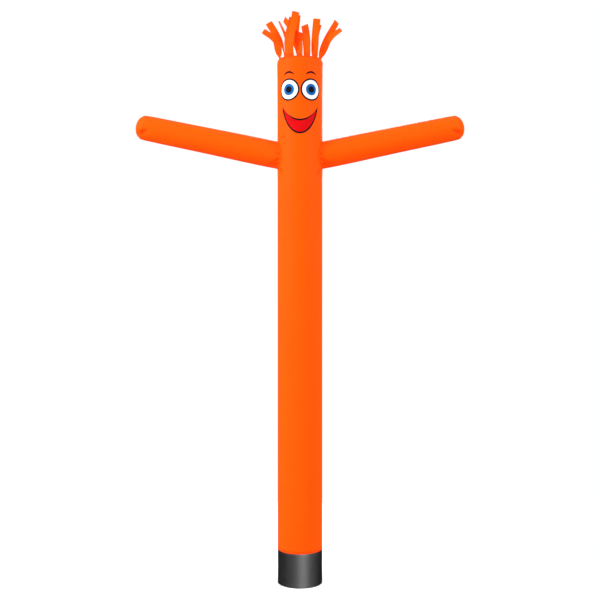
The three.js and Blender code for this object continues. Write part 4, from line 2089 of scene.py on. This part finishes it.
@dataclass
class Studio:
    """A plain pale studio: the floor, the soft lights and the camera."""

    eye: tuple[float, float, float] = (0.0, -10.5, 3.4)
    lens: float = 59.64
    sensor: float = 36.0
    shift: float = -0.0675
    floor_radius: float = 3.4
    floor_drop: float = 0.0005
    seen_white: float = 1.02
    glow_low: float = 0.61
    glow_more: float = 0.62
    softbox_turn: float = math.radians(15)
    softbox_glow: float = 2.3
    front_glow: float = 0.8
    mirror_loss: float = 0.63

    def build(self) -> None:
        """Sets up the camera, the surroundings, the lights and the floor."""
        self.add_camera()
        self.add_surroundings()
        self.add_light("key", (-9.5, -4.6, 7.2), (0, 0, 3.2), (5.0, 5.0), 1080.0)
        self.add_light("fill", (9.0, -4.4, 6.4), (0, 0, 3.0), (4.0, 4.0), 480.0)
        self.add_light("back", (2.0, 8.5, 7.0), (0, 0, 3.2), (5.0, 5.0), 420.0)
        self.add_light("low", (-7.0, -5.0, 0.6), (-0.8, 0, 4.6), (4.0, 4.0), 130.0, mirrored=False)
        self.add_floor()

    def add_camera(self) -> None:
        """Adds the level camera that looks along +Y."""
        data = bpy.data.cameras.new("camera")
        data.lens, data.sensor_width, data.shift_y = self.lens, self.sensor, self.shift
        camera = bpy.data.objects.new("camera", data)
        camera.location, camera.rotation_euler = self.eye, (math.pi / 2, 0, 0)
        bpy.context.scene.collection.objects.link(camera)
        bpy.context.scene.camera = camera
        bpy.context.scene.view_settings.view_transform = "Standard"

    def add_surroundings(self) -> None:
        """Surrounds the figure with white that lights it softly, more from above than from below.

        Mirrored rays see it darker, apart from a brighter front with a softbox in it, and the
        camera sees it plain.
        """
        world = bpy.data.worlds.new("studio")
        bpy.context.scene.world = world
        graph = Graph(world)
        look = {"Vector": graph.node("ShaderNodeTexCoord", output="Generated")}
        parts = [graph.node("ShaderNodeSeparateXYZ", None, look, output=axis) for axis in range(3)]
        aside, behind, up = parts
        seen = graph.node("ShaderNodeLightPath", output="Is Camera Ray")
        mirrored = graph.node("ShaderNodeLightPath", output="Is Glossy Ray")
        front = aside * math.sin(self.softbox_turn) - behind * math.cos(self.softbox_turn)
        softbox = front.ramp(0.85, 0.95)
        ahead = front.larger(0.0) * self.front_glow + softbox * self.softbox_glow - self.mirror_loss
        glow = up.ramp(-0.2, 0.6) * self.glow_more + self.glow_low + mirrored * ahead
        strength = seen * self.seen_white + (1 - seen) * glow
        shade = graph.node("ShaderNodeBackground", None, {"Color": (1, 1, 1, 1), "Strength": strength})
        graph.node("ShaderNodeOutputWorld", None, {"Surface": shade})

    def add_light(
        self,
        name: str,
        place: tuple[float, float, float],
        aim: tuple[float, float, float],
        size: tuple[float, float],
        power: float,
        mirrored: bool = True,
    ) -> None:
        """Adds one soft light that the camera doesn't see.

        Args:
            name: The light's name.
            place: Where it stands.
            aim: What it points at.
            size: Its width and length.
            power: Its strength in watts.
            mirrored: Whether glossy cloth mirrors it.
        """
        data = bpy.data.lights.new(name, "AREA")
        data.shape, data.energy = "RECTANGLE", power
        data.size, data.size_y = size
        light = bpy.data.objects.new(name, data)
        light.location = place
        light.visible_camera = False
        light.visible_glossy = mirrored
        light.rotation_euler = (Vector(aim) - Vector(place)).to_track_quat("-Z", "Y").to_euler()
        bpy.context.scene.collection.objects.link(light)

    def add_floor(self) -> None:
        """Adds the pale floor that the figure stands on."""
        bm = bmesh.new()
        bmesh.ops.create_circle(bm, cap_ends=True, segments=96, radius=self.floor_radius)
        mesh = bpy.data.meshes.new("floor")
        bm.to_mesh(mesh)
        bm.free()
        floor = bpy.data.objects.new("floor", mesh)
        floor.location.z = -self.floor_drop
        floor.visible_glossy = floor.visible_diffuse = False
        bpy.context.scene.collection.objects.link(floor)
        material = bpy.data.materials.new("floor")
        graph = Graph(material)
        place = graph.node("ShaderNodeTexCoord", output="Object")
        grain = graph.noise(place, 3.0, 3.0)
        shader = graph.node("ShaderNodeBsdfPrincipled", None, {
            "Base Color": graph.blend(grain, (0.93, 0.93, 0.93), (0.97, 0.97, 0.97)),
            "Roughness": grain * 0.1 + 0.7,
            "Specular IOR Level": 0.1,
        })
        graph.node("ShaderNodeOutputMaterial", None, {"Surface": shader})
        mesh.materials.append(material)


# ---------------------------------------------------------------- the figure


def main() -> None:
    """Builds the studio, then every piece of the figure, from the tube to the stitches."""
    logging.basicConfig(level=logging.INFO, format="%(message)s")
    Studio().build()
    maker = Maker()
    tube_form = TubeForm(creases=TUBE_CREASES)
    arm_forms = [ArmForm(side, tube_form, creases=ARM_CREASES) for side in Side]
    cuff = FanCuff(maker)
    Tube(tube_form, maker).build(arm_forms)
    Head(maker).build()
    for form in arm_forms:
        Arm(form, maker).build()
    cuff.build()
    Hair(maker).build()
    Face(tube_form, maker).build()
    Seams(maker, tube_form, arm_forms, cuff).build()


if __name__ == "__main__":
    main()
